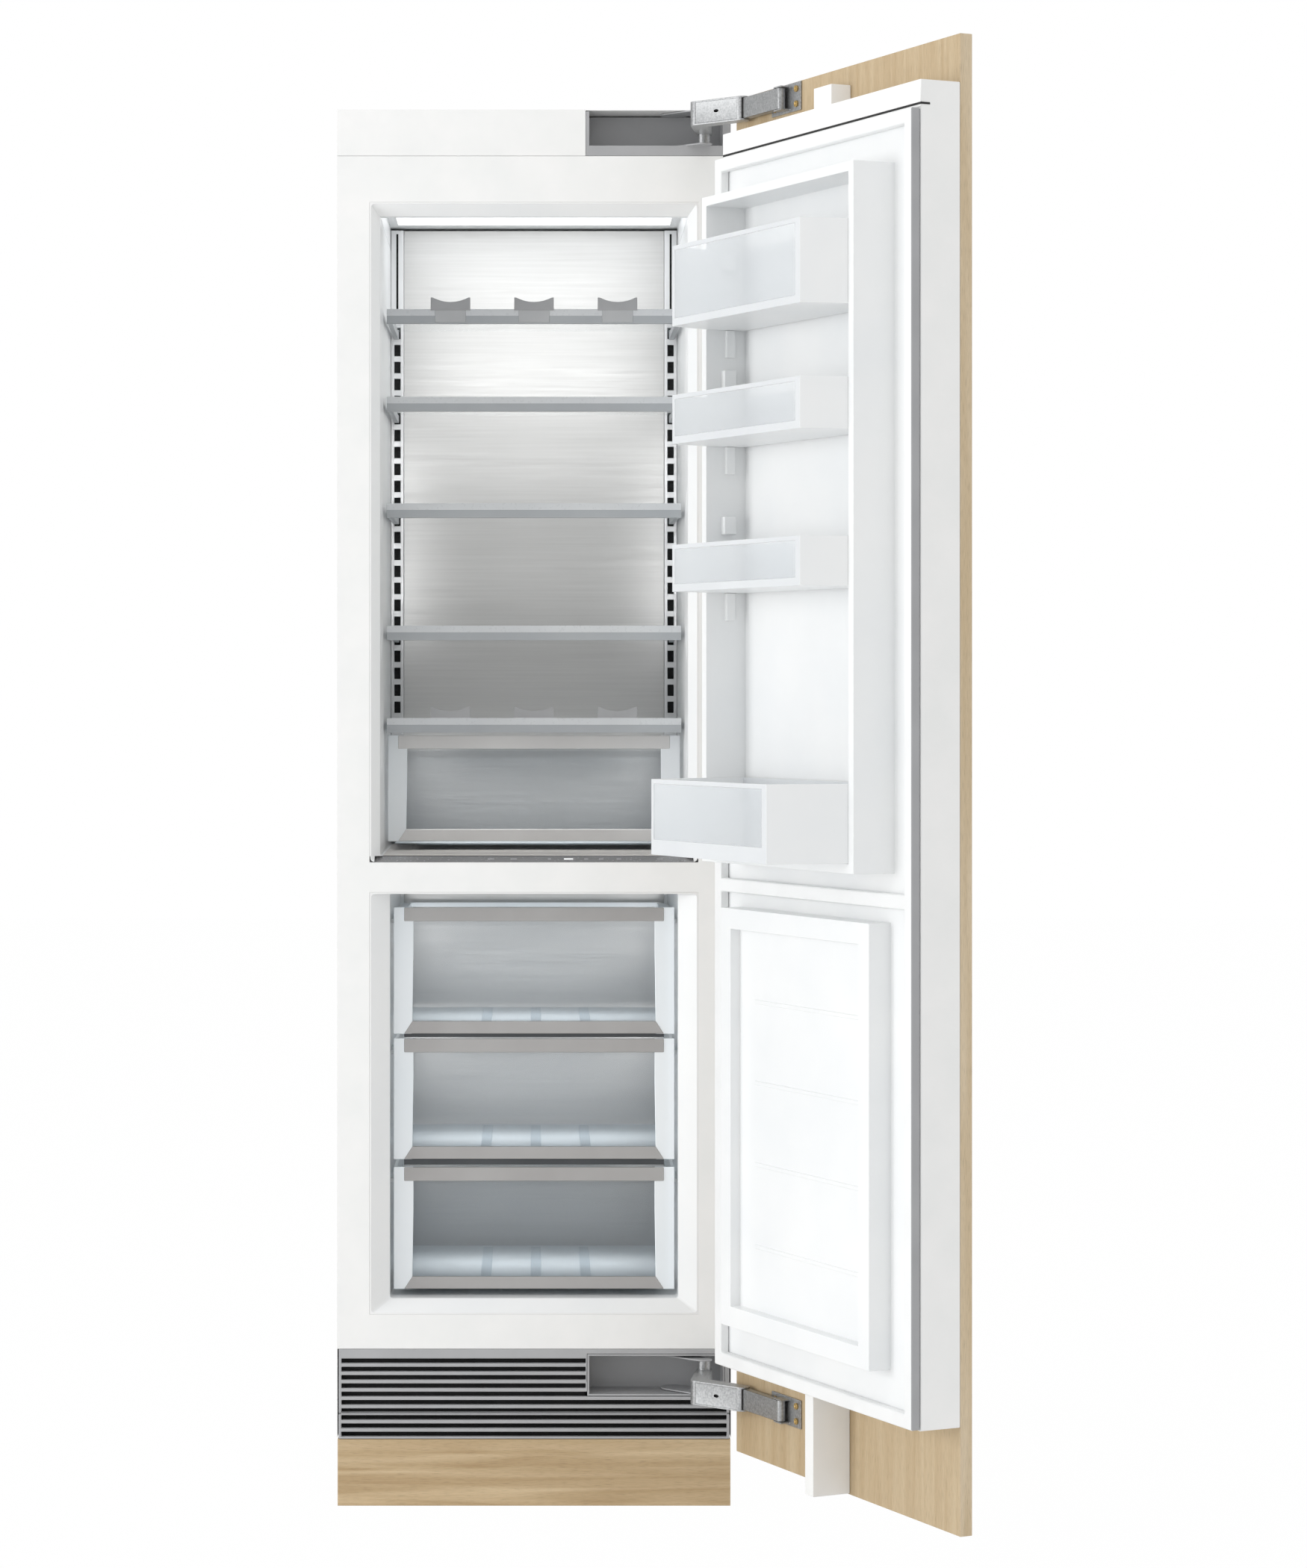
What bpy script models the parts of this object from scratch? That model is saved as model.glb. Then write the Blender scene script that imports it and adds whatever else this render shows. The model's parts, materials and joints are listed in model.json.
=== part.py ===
"""Column refrigerator for an overlay panel, drawn with its door standing open.

Metres, +Z up. X = 0 is the middle of the cabinet, Y = 0 the plane of its front frame,
+Y runs into the cabinet and Z = 0 is the floor.
"""
import math

import bmesh
import bpy
from mathutils import Matrix, Vector

# Fits shared by all pieces
GAP = 0.0003
OVERRUN = 0.004
MERGE_DISTANCE = 0.00003

# Cabinet
CABINET_WIDTH = 0.603
CABINET_HEIGHT = 2.134
CABINET_DEPTH = 0.535
CASING_SHEET = 0.0012
FRAME_PLATE = 0.0027
KICK_HEIGHT = 0.102
GRILLE_HEIGHT = 0.137
FASCIA_HEIGHT = 0.071
HALF_WIDTH = CABINET_WIDTH / 2
GRILLE_TOP = KICK_HEIGHT + GRILLE_HEIGHT
FASCIA_LOW = CABINET_HEIGHT - FASCIA_HEIGHT
INSIDE_HALF = HALF_WIDTH - CASING_SHEET - GAP
FRAME_BACK = FRAME_PLATE + GAP

# Front frame round the two openings
STILE_WIDTH = 0.0525
HEADER_HEIGHT = 0.073
SILL_HEIGHT = 0.055
FREEZER_OPENING = 0.643
MULLION_HEIGHT = 0.046
FLARE_HALF = HALF_WIDTH - STILE_WIDTH
UPPER_FLARE_TOP = FASCIA_LOW - HEADER_HEIGHT
LOWER_FLARE_FLOOR = GRILLE_TOP + SILL_HEIGHT
MULLION_LOW = LOWER_FLARE_FLOOR + FREEZER_OPENING
MULLION_HIGH = MULLION_LOW + MULLION_HEIGHT

# Liners
LINER_WALL = 0.002
LINER_CORNER = 0.004
CORNER_STEPS = 2
CORNER_PROFILE = 0.5
FLARE_DEPTH = 0.018
FLARE_START = 0.0005
UPPER_STEP = 0.013
UPPER_SILL = 0.009
THROAT_DROP = 0.0175
CEILING_RISE = 0.0355
CEILING_START = 0.034
CEILING_LEDGE = 0.0005
UPPER_FOAM = 0.028
LOWER_STEP = 0.028
LOWER_SILL = 0.020
LOWER_FOAM = 0.055
UPPER_HALF = FLARE_HALF - UPPER_STEP
UPPER_FLOOR = MULLION_HIGH + UPPER_SILL
UPPER_THROAT_TOP = UPPER_FLARE_TOP - THROAT_DROP
UPPER_CEILING = UPPER_THROAT_TOP + CEILING_RISE
UPPER_BACK = CABINET_DEPTH - UPPER_FOAM
LOWER_HALF = FLARE_HALF - LOWER_STEP
LOWER_FLOOR = LOWER_FLARE_FLOOR + LOWER_SILL
LOWER_CEILING = MULLION_LOW - LINER_WALL
LOWER_BACK = CABINET_DEPTH - LOWER_FOAM

# Control strip on the sill of the upper compartment
CONTROL_MARGIN = 0.005
CONTROL_DEPTH = 0.026
CONTROL_DROP = 0.013
CONTROL_HALF = FLARE_HALF - CONTROL_MARGIN
CONTROL_FOOT = MULLION_HIGH - CONTROL_DROP

# Rear wall and shelf tracks
COIL_ROOM = 0.044
WALL_SHEET = 0.0012
TRACK_PROUD = 0.008
TRACK_WIDTH = 0.021
SLOT_WIDTH = 0.010
SLOT_HEIGHT = 0.0185
SLOT_DEPTH = 0.008
SLOT_SPACING = 0.028
TOP_SLOT_DROP = 0.174
LOW_SLOT_RISE = 0.190
WALL_FACE = UPPER_BACK - COIL_ROOM
TRACK_FACE = WALL_FACE - TRACK_PROUD
TRACK_INNER = UPPER_HALF - GAP - TRACK_WIDTH
TRACK_MIDDLE = TRACK_INNER + TRACK_WIDTH / 2
TOP_SLOT = UPPER_CEILING - TOP_SLOT_DROP
SLOT_COUNT = int((TOP_SLOT - UPPER_FLOOR - LOW_SLOT_RISE) / SLOT_SPACING) + 1

# Lamps
CEILING_LAMP_MARGIN = 0.014
CEILING_LAMP_FRONT = 0.150
CEILING_LAMP_REAR = 0.043
CEILING_LAMP_HEIGHT = 0.016
SIDE_LAMP_Y = 0.070
SIDE_LAMP_SHARES = (0.150943, 0.326364, 0.555839, 0.783274)
SIDE_LENS_HEIGHT = 0.035
SIDE_LENS_WIDTH = 0.008
SIDE_STRIP_WIDTH = 0.020
SIDE_STRIP_THICK = 0.006
SIDE_STRIP_MARGIN = 0.030
CEILING_LAMP_HALF = UPPER_HALF - CEILING_LAMP_MARGIN
CEILING_LAMP_BACK = WALL_FACE - CEILING_LAMP_REAR
UPPER_HEIGHT = UPPER_THROAT_TOP - UPPER_FLOOR
SIDE_LAMP_HEIGHTS = [UPPER_FLOOR + UPPER_HEIGHT * share for share in SIDE_LAMP_SHARES]

# Drawers
DRAWER_WALL = 0.0025
DRAWER_FACE_THICK = 0.007
DRAWER_SIDE_GAP = 0.005
CRISPER_RISE = 0.015
CRISPER_HEIGHT = 0.168
CRISPER_FRONT = 0.200
CRISPER_TRAY_SIDE = 0.012
CRISPER_TRAY_RISE = 0.009
CRISPER_TRAY_DROP = 0.025
CRISPER_REAR_GAP = 0.005
SKID_WIDTH = 0.008
SKID_INSET = 0.030
DRAWER_FRONT = 0.040
DRAWER_REAR_GAP = 0.020
RUNNER_REACH = 0.011
DRAWER_SHARES = ((0.648953, 0.962963), (0.338164, 0.637681), (0.016103, 0.318841))
TRAY_FOOT = 0.004
TRAY_DROP = 0.016
RUNNER_THICK = 0.003
RUNNER_START = 0.010
RUNNER_END = 0.002
RUNNER_STEP = 0.001
LEDGE_HEIGHT = 0.006
LEDGE_REACH = 0.013
LEDGE_END = 0.010
WINDOW_SIDE = 0.026
WINDOW_LOW = 0.020
WINDOW_HIGH = 0.025
WINDOW_DEPTH = 0.004
CRISPER_HALF = UPPER_HALF - DRAWER_SIDE_GAP
CRISPER_LOW = UPPER_FLOOR + CRISPER_RISE
CRISPER_HIGH = CRISPER_LOW + CRISPER_HEIGHT
CRISPER_TRAY_HALF = UPPER_HALF - CRISPER_TRAY_SIDE
CRISPER_TRAY_LOW = UPPER_FLOOR + CRISPER_TRAY_RISE
CRISPER_TRAY_HIGH = CRISPER_HIGH - CRISPER_TRAY_DROP
CRISPER_REAR = TRACK_FACE - CRISPER_REAR_GAP
DRAWER_HALF = LOWER_HALF - DRAWER_SIDE_GAP
DRAWER_TRAY_HALF = DRAWER_HALF - RUNNER_REACH
DRAWER_REAR = LOWER_BACK - DRAWER_REAR_GAP
LOWER_HEIGHT = LOWER_CEILING - LOWER_FLOOR
DRAWER_FACES = [(LOWER_FLOOR + LOWER_HEIGHT * low, LOWER_FLOOR + LOWER_HEIGHT * high)
                for low, high in DRAWER_SHARES]

# Shelves
SHELF_SHARES = (0.833117, 0.654545, 0.437662, 0.188312, 0)
LOW_SHELF_RISE = 0.0275
SHELF_SIDE_GAP = 0.005
SHELF_FRONT = 0.150
SHELF_TRIM = 0.010
SHELF_TRIM_HEIGHT = 0.023
SHELF_RAIL = 0.008
SHELF_RAIL_HEIGHT = 0.012
SHELF_RAIL_DROP = 0.008
SHELF_GLASS = 0.004
HOOK_WIDTH = 0.006
HOOK_HEIGHT = 0.010
HOOK_REACH = 0.006
HOOK_PLATE_INSET = 0.001
CRADLE_SHELVES = (0, 4)
CLIPPED_SHELF = 0
CRADLE_WIDTH = 0.062
CRADLE_HEIGHT = 0.018
CRADLE_DEPTH = 0.011
CRADLE_LIP = 0.002
CRADLE_CLIP_WIDTH = 0.048
CRADLE_CLIP_THICK = 0.001
CRADLE_SHARE = 0.567
CRADLE_RADIUS = 0.060
CRADLE_DIP = 0.007
CRADLE_SIDES = 48
SHELF_HALF = UPPER_HALF - SHELF_SIDE_GAP
LOW_SHELF_TOP = CRISPER_HIGH + LOW_SHELF_RISE
SHELF_TOPS = [LOW_SHELF_TOP + (UPPER_THROAT_TOP - LOW_SHELF_TOP) * share for share in SHELF_SHARES]

# Hinge pockets
POCKET_LEFT_INSET = 0.217
POCKET_RIGHT_INSET = 0.0135
POCKET_DEPTH = 0.062
BOX_WALL = 0.003
TOP_BOX_EDGE = 0.0052
TOP_BOX_RISE = 0.016
BOTTOM_BOX_DROP = 0.008
BOTTOM_BOX_HEIGHT = 0.064
POCKET_LEFT = HALF_WIDTH - POCKET_LEFT_INSET
POCKET_RIGHT = HALF_WIDTH - POCKET_RIGHT_INSET
TOP_BOX_LEFT = POCKET_LEFT - TOP_BOX_EDGE
TOP_BOX_FLOOR = FASCIA_LOW + TOP_BOX_RISE
BOTTOM_BOX_HIGH = GRILLE_TOP - BOTTOM_BOX_DROP
BOTTOM_BOX_LOW = BOTTOM_BOX_HIGH - BOTTOM_BOX_HEIGHT

# Grilles and toe kick
GRILLE_INSET = 0.003
GRILLE_THICK = 0.010
KICK_GRILLE_HEIGHT = 0.038
KICK_GRILLE_STEP = 0.004
SLAT_GAP = 0.0073
SLAT_SPACING = 0.0127
SLAT_MARGIN = 0.004
FIRST_GAP_DROP = 0.0185
FIRST_KICK_GAP_DROP = 0.0053
TOE_INSET = 0.0015
TOE_BOARD = 0.018
GRILLE_HALF = HALF_WIDTH - GRILLE_INSET
GRILLE_SPLIT = KICK_HEIGHT + KICK_GRILLE_HEIGHT
FIRST_GAP = GRILLE_TOP - FIRST_GAP_DROP
FIRST_KICK_GAP = GRILLE_SPLIT - FIRST_KICK_GAP_DROP
UPPER_GAPS = int((FIRST_GAP - SLAT_GAP / 2 - GRILLE_SPLIT) / SLAT_SPACING) + 1
SHORT_GAPS = int((FIRST_GAP - BOTTOM_BOX_LOW - BOX_WALL) / SLAT_SPACING) + 1
KICK_GAPS = int((FIRST_KICK_GAP - KICK_HEIGHT) / SLAT_SPACING) + 1
TOE_HALF = HALF_WIDTH - TOE_INSET

# Base, feet and rollers
PAN_LOW = 0.044
PAN_SHEET = 0.002
PAN_RISE = 0.028
PAN_FRONT = 0.020
FOOT_INSET = 0.0315
FOOT_Y = 0.042
FOOT_RADIUS = 0.018
FOOT_THICK = 0.009
STUD_RADIUS = 0.006
ROLLER_RADIUS = 0.020
ROLLER_WIDTH = 0.024
ROLLER_INSET = 0.0515
ROLLER_REAR = 0.045
AXLE_RADIUS = 0.005
ROLLER_BRACKET = 0.010
ROLLER_BRACKET_LENGTH = 0.030
ROUND_SIDES = 32
PAN_WALL_TOP = KICK_HEIGHT + PAN_RISE
FOOT_X = HALF_WIDTH - FOOT_INSET
ROLLER_X = HALF_WIDTH - ROLLER_INSET
ROLLER_Y = CABINET_DEPTH - ROLLER_REAR

# Cooling parts
COMPRESSOR_INSET = 0.1515
COMPRESSOR_REAR = 0.135
COMPRESSOR_RADIUS = 0.078
COMPRESSOR_HEIGHT = 0.170
COMPRESSOR_SEAM = 0.004
COMPRESSOR_BASE = 0.005
COMPRESSOR_BASE_HALF = 0.085
COMPRESSOR_SIDES = 24
DOME_SHARE = 0.28
CONDENSER_INSET = 0.0315
CONDENSER_SIDE_GAP = 0.0345
CONDENSER_Y = 0.040
CONDENSER_THICK = 0.040
CONDENSER_HEIGHT = 0.170
FIN_COUNT = 16
FIN_GAP = 0.012
FIN_DEPTH = 0.030
BAFFLE_THICK = 0.003
BAFFLE_SET = 0.002
SHROUD_DEPTH = 0.060
SHROUD_HALF = 0.078
SHROUD_BACK = 0.004
FAN_RADIUS = 0.060
FAN_CLEARANCE = 0.006
FAN_HUB = 0.018
FAN_LENGTH = 0.020
MOTOR_RADIUS = 0.014
MOTOR_LENGTH = 0.026
BLADE_COUNT = 5
BLADE_THICK = 0.0025
BLADE_WIDTH = 0.034
BLADE_PITCH = math.radians(32)
EVAPORATOR_SHARE = 0.698649
EVAPORATOR_RISE = 0.088
EVAPORATOR_HEIGHT = 0.220
EVAPORATOR_THICK = 0.036
EVAPORATOR_FINS = 13
COLD_FAN_RISE = 0.100
COLD_FAN_RADIUS = 0.048
COLD_FAN_LENGTH = 0.012
COLD_BLADE_WIDTH = 0.018
COLD_MOTOR_LENGTH = 0.014
FAN_ARM_HALF = 0.020
FAN_ARM_THICK = 0.004
COMPRESSOR_X = COMPRESSOR_INSET - HALF_WIDTH
COMPRESSOR_Y = CABINET_DEPTH - COMPRESSOR_REAR
CONDENSER_LOW_X = CONDENSER_INSET - HALF_WIDTH
CONDENSER_HIGH_X = POCKET_LEFT - CONDENSER_SIDE_GAP
EVAPORATOR_HALF = TRACK_INNER * EVAPORATOR_SHARE
EVAPORATOR_LOW = UPPER_FLOOR + EVAPORATOR_RISE
COLD_FAN_Z = EVAPORATOR_LOW + EVAPORATOR_HEIGHT + COLD_FAN_RISE

# Door, written as it lies when shut
DOOR_OPEN = math.radians(115)
DOOR_GAP = 0.0761
PANEL_THICK = 0.019
PANEL_EXTRA = 0.039
PANEL_OVERHANG = 0.0445
SWING_OVERHANG = 0.03054
SWING_SET = 0.10031
DOOR_FREE_INSET = 0.0055
DOOR_HINGE_INSET = 0.0275
DOOR_RISE = 0.011
DOOR_OVERLAP = 0.005
DOOR_THICK = 0.0613
DOOR_SHEET = 0.0012
CAP_HEIGHT = 0.037
GASKET_THICK = 0.0142
GASKET_WIDTH = 0.020
GASKET_INSET = 0.001
DIKE_FREE_GAP = 0.009
DIKE_HINGE_GAP = 0.020
DIKE_LOW_GAP = 0.005
DIKE_HIGH_GAP = 0.0085
DIKE_HEIGHT = 0.065
DIKE_WALL = 0.0135
PLUG_FREE_GAP = 0.006
PLUG_HINGE_GAP = 0.005
PLUG_END_GAP = 0.006
PLUG_HEIGHT = 0.034
PLUG_RIM = 0.030
PLUG_RECESS = 0.016
BIN_WALL = 0.003
BIN_CLEARANCE = 0.0006
BIN_BACK = 0.003
BIN_FREE_TAPER = 0.016
BIN_HINGE_TAPER = 0.020
BIN_REACH = 0.066
BIN_SHARES = ((0.771598, 0.908876), (0.570414, 0.654438), (0.318343, 0.398817))
DEEP_BIN_FREE_TAPER = 0.028
DEEP_BIN_HINGE_TAPER = 0.042
DEEP_BIN_REACH = 0.111
DEEP_BIN_HEIGHT = 0.122
LUG_HEIGHT = 0.040
LUG_DEPTH = 0.014
LUG_REACH = 0.006
LUG_SET_BACK = 0.020
BOTTOM_POST_INSET = 0.3315
BOTTOM_POST_WIDTH = 0.024
BOTTOM_POST_DEPTH = 0.060
BOTTOM_POST_RISE = 0.002
TOP_POST_INSET = 0.3205
TOP_POST_WIDTH = 0.051
TOP_POST_DEPTH = 0.032
TOP_POST_DROP = 0.028
PANEL_FACE = -DOOR_GAP
PANEL_WIDTH = CABINET_WIDTH + PANEL_EXTRA
PANEL_HINGE_EDGE = HALF_WIDTH + PANEL_OVERHANG
SWING_X = HALF_WIDTH + SWING_OVERHANG
SWING_Y = -SWING_SET
DOOR_FREE_EDGE = DOOR_FREE_INSET - HALF_WIDTH
DOOR_HINGE_EDGE = HALF_WIDTH - DOOR_HINGE_INSET
DOOR_LOW = GRILLE_TOP + DOOR_RISE
DOOR_HIGH = FASCIA_LOW + DOOR_OVERLAP
CAP_LOW = DOOR_HIGH - CAP_HEIGHT
GASKET_MIDDLE = (MULLION_LOW + MULLION_HIGH) / 2
DIKE_FREE = DIKE_FREE_GAP - UPPER_HALF
DIKE_HINGE = UPPER_HALF - DIKE_HINGE_GAP
DIKE_LOW = UPPER_FLOOR + DIKE_LOW_GAP
DIKE_HIGH = UPPER_THROAT_TOP - DIKE_HIGH_GAP
PLUG_FREE = PLUG_FREE_GAP - LOWER_HALF
PLUG_HINGE = LOWER_HALF - PLUG_HINGE_GAP
PLUG_LOW = LOWER_FLOOR + PLUG_END_GAP
PLUG_HIGH = LOWER_CEILING - PLUG_END_GAP
DEEP_BIN_HIGH = DIKE_LOW + DEEP_BIN_HEIGHT
BIN_ZONE = DIKE_HIGH - DEEP_BIN_HIGH
BINS = [(DEEP_BIN_HIGH + BIN_ZONE * low, DEEP_BIN_HIGH + BIN_ZONE * high)
        for low, high in BIN_SHARES]
BOTTOM_POST_X = PANEL_HINGE_EDGE - BOTTOM_POST_INSET
BOTTOM_POST_LOW = KICK_HEIGHT + BOTTOM_POST_RISE
TOP_POST_X = PANEL_HINGE_EDGE - TOP_POST_INSET
TOP_POST_HIGH = CABINET_HEIGHT - TOP_POST_DROP

# Hinges
ARM_HEIGHT = 0.036
TOP_ARM_DROP = 0.022
BOTTOM_ARM_DROP = 0.0475
ARM_PIVOT_INSET = 0.0415
ARM_PIVOT_SET = 0.008
ARM_LENGTH = 0.150
LINK_LENGTH = 0.1107
LINK_PIVOT_U = 0.160
LINK_PIVOT_N = 0.0115
ARM_HEEL = 0.012
KNEE_RADIUS = 0.013
KNEE_ALONG = 0.080
KNEE_ACROSS = 0.042
ELBOW_INNER = 0.0085
ELBOW_OUTER = 0.0137
ARM_WEB = 0.0016
ARM_FLANGE = 0.0024
ARM_HUB = 0.0095
LINK_END_RADIUS = 0.0065
ELBOW_NOTCH = 0.019
PIVOT_PIN = 0.005
LINK_PIN = 0.003
PIN_PLAY = 0.0004
LUG_PLATE = 0.0022
FAR_LUG = 0.0311
LUG_ROOT_INSET = 0.0865
LUG_ROOT = 0.020
BRACKET_PLATE = 0.0022
BRACKET_NEAR = 0.115
BRACKET_FAR = 0.203
BRACKET_HALF = 0.0210
BRACKET_EAR = 0.011
PIN_SIDES = 24
END_STEPS = 8
TOP_ARM_MIDDLE = CABINET_HEIGHT - TOP_ARM_DROP
BOTTOM_ARM_MIDDLE = GRILLE_TOP - BOTTOM_ARM_DROP
ARM_PIVOT_X = HALF_WIDTH - ARM_PIVOT_INSET
ARM_PIVOT_Y = -ARM_PIVOT_SET
LUG_ROOT_X = HALF_WIDTH - LUG_ROOT_INSET

DOOR_INNER = PANEL_FACE + DOOR_THICK
LINK_HALF = ARM_HEIGHT / 2 - ARM_FLANGE - GAP


def new_collection(name):
    """A collection linked to the scene."""
    made = bpy.data.collections.new(name)
    bpy.context.scene.collection.children.link(made)
    return made


def finish(name, colour, roughness, metallic):
    """A Principled material."""
    made = bpy.data.materials.new(name)
    made.use_nodes = True
    shader = made.node_tree.nodes["Principled BSDF"]
    shader.inputs["Base Color"].default_value = (*colour, 1.0)
    shader.inputs["Roughness"].default_value = roughness
    shader.inputs["Metallic"].default_value = metallic
    return made


FINISHES = {
    "white_steel": ((0.86, 0.86, 0.85), 0.35, 0.0),
    "liner": ((0.80, 0.82, 0.83), 0.40, 0.0),
    "foam": ((0.80, 0.74, 0.50), 0.90, 0.0),
    "zinc": ((0.60, 0.60, 0.60), 0.45, 0.9),
    "brushed": ((0.55, 0.55, 0.56), 0.35, 1.0),
    "gray_plastic": ((0.35, 0.36, 0.37), 0.50, 0.0),
    "trim": ((0.42, 0.44, 0.46), 0.45, 0.0),
    "glass": ((0.75, 0.85, 0.86), 0.05, 0.0),
    "clear": ((0.70, 0.76, 0.80), 0.10, 0.0),
    "lamp": ((1.00, 1.00, 0.98), 0.30, 0.0),
    "black": ((0.03, 0.03, 0.035), 0.40, 0.0),
    "oak": ((0.56, 0.42, 0.25), 0.60, 0.0),
    "gasket": ((0.45, 0.46, 0.47), 0.70, 0.0),
    "rubber": ((0.05, 0.05, 0.05), 0.80, 0.0),
    "aluminium": ((0.70, 0.70, 0.70), 0.40, 1.0),
}


def dress(thing, kind):
    """Give an object a material of its own from the table of finishes."""
    colour, roughness, metallic = FINISHES[kind]
    thing.data.materials.clear()
    thing.data.materials.append(finish(thing.name + "_finish", colour, roughness, metallic))


def follow(thing, axis):
    """Hang an object on an empty; its coordinates stay those of the unturned empty."""
    thing.parent = axis
    thing.matrix_parent_inverse = Matrix.Translation(-axis.location)


def add(name, mesh, middle, kind, axis):
    """Put a mesh in the model, or among the cutters where it has no finish."""
    thing = bpy.data.objects.new(name, mesh)
    thing.location = middle
    if kind:
        MODEL.objects.link(thing)
        dress(thing, kind)
    else:
        CUTTERS.objects.link(thing)
        thing.hide_render = True
        thing.display_type = 'WIRE'
    if axis:
        follow(thing, axis)
    return thing


def block(name, x, y, z, kind=None, axis=None):
    """A box from its (low, high) in X, Y and Z."""
    return blocks(name, [(x, y, z)], kind, axis)


def blocks(name, boxes, kind=None, axis=None):
    """Boxes in one mesh, each from its (low, high) in X, Y and Z."""
    middle = Vector([sum(span) / 2 for span in boxes[0]])
    shape = bmesh.new()
    for spans in boxes:
        size = Vector([high - low for low, high in spans])
        place = Vector([sum(span) / 2 for span in spans]) - middle
        made = bmesh.ops.create_cube(shape, size=1)
        bmesh.ops.scale(shape, vec=size, verts=made["verts"])
        bmesh.ops.translate(shape, vec=place, verts=made["verts"])
    mesh = bpy.data.meshes.new(name)
    shape.to_mesh(mesh)
    shape.free()
    return add(name, mesh, middle, kind, axis)


def rod(name, middle, radius, length, along, kind=None, axis=None, sides=ROUND_SIDES):
    """A cylinder about a line parallel to X, Y or Z."""
    turn = {"X": Matrix.Rotation(math.pi / 2, 4, 'Y'),
            "Y": Matrix.Rotation(math.pi / 2, 4, 'X'),
            "Z": Matrix.Identity(4)}[along]
    shape = bmesh.new()
    bmesh.ops.create_cone(shape, cap_ends=True, segments=sides,
                          radius1=radius, radius2=radius, depth=length, matrix=turn)
    mesh = bpy.data.meshes.new(name)
    shape.to_mesh(mesh)
    shape.free()
    mesh.shade_smooth()
    mesh.set_sharp_from_angle(angle=math.radians(40))
    return add(name, mesh, Vector(middle), kind, axis)


def slab(name, outline, span, kind=None, axis=None, upright=False):
    """An outline in X and Y given a height in Z, or one in Y and Z given a length in X."""
    curve = bpy.data.curves.new(name, 'CURVE')
    curve.dimensions = '2D'
    curve.fill_mode = 'BOTH'
    curve.extrude = (span[1] - span[0]) / 2
    line = curve.splines.new('POLY')
    line.points.add(len(outline) - 1)
    for point, (first, second) in zip(line.points, outline):
        point.co = Vector((first, second, 0)).to_4d()
    line.use_cyclic_u = True
    guide = bpy.data.objects.new(name + "_outline", curve)
    CUTTERS.objects.link(guide)
    bpy.context.view_layer.update()
    ready = guide.evaluated_get(bpy.context.evaluated_depsgraph_get())
    mesh = bpy.data.meshes.new_from_object(ready)
    mesh.name = name
    bpy.data.objects.remove(guide)
    bpy.data.curves.remove(curve)
    shape = bmesh.new()
    shape.from_mesh(mesh)
    bmesh.ops.remove_doubles(shape, verts=shape.verts, dist=MERGE_DISTANCE)
    bmesh.ops.translate(shape, vec=(0, 0, sum(span) / 2), verts=shape.verts)
    if upright:
        turn = Matrix(((0, 0, 1), (1, 0, 0), (0, 1, 0)))
        bmesh.ops.transform(shape, matrix=turn.to_4x4(), verts=shape.verts)
    bmesh.ops.recalc_face_normals(shape, faces=shape.faces)
    shape.to_mesh(mesh)
    shape.free()
    return add(name, mesh, Vector((0, 0, 0)), kind, axis)


def boolean(thing, other, operation):
    """An exact Boolean with another object."""
    step = thing.modifiers.new(operation.lower(), 'BOOLEAN')
    step.operation = operation
    step.solver = 'EXACT'
    step.object = other


def cut(thing, *cutters):
    """Take shapes out of a piece."""
    for cutter in cutters:
        boolean(thing, cutter, 'DIFFERENCE')


def fuse(thing, *others):
    """Add shapes to a piece."""
    for other in others:
        boolean(thing, other, 'UNION')


def both(low, high):
    """The same span on the two sides of the middle plane."""
    return ((-high, -low), (low, high))


def tub(name, inner, outer, depth, kind, floor_only=False):
    """A moulded tub open to the front, its rim spread to a wider outline and its wall outside.

    All its inner edges are rounded, or only those of its floor.
    """
    (half, low, high), (outer_half, outer_low, outer_high) = inner, outer
    front, back = depth
    middle = Vector((0, (front + back) / 2, (low + high) / 2))
    size = Vector((half * 2, back - front, high - low))
    shape = bmesh.new()
    bmesh.ops.create_cube(shape, size=1)
    bmesh.ops.scale(shape, vec=size, verts=shape.verts)
    open_face = [face for face in shape.faces if face.normal.y < -0.5]
    bmesh.ops.delete(shape, geom=open_face, context='FACES_ONLY')
    round_edges = [edge for edge in shape.edges if not edge.is_boundary
                   and not (floor_only and any(vert.co.z > 0 for vert in edge.verts))]
    bmesh.ops.bevel(shape, geom=round_edges, offset=LINER_CORNER, segments=CORNER_STEPS,
                    profile=CORNER_PROFILE, affect='EDGES', clamp_overlap=True)
    rim = [edge for edge in shape.edges if edge.is_boundary]
    flare = bmesh.ops.extrude_edge_only(shape, edges=rim)
    moved = [item for item in flare["geom"] if isinstance(item, bmesh.types.BMVert)]
    grow_x = outer_half / half
    grow_z = (outer_high - outer_low) / (high - low)
    shift = (outer_low + outer_high) / 2 - middle.z
    for vert in moved:
        vert.co.x *= grow_x
        vert.co.z = vert.co.z * grow_z + shift
        vert.co.y = FLARE_START - middle.y
    bmesh.ops.recalc_face_normals(shape, faces=shape.faces)
    rear = max(shape.faces, key=lambda face: face.calc_center_median().y)
    if rear.normal.y < 0:
        bmesh.ops.reverse_faces(shape, faces=shape.faces)
    mesh = bpy.data.meshes.new(name)
    shape.to_mesh(mesh)
    shape.free()
    thing = add(name, mesh, middle, kind, None)
    wall = thing.modifiers.new("wall", 'SOLIDIFY')
    wall.thickness = LINER_WALL
    wall.offset = 1
    wall.use_even_offset = True
    return thing


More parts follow.
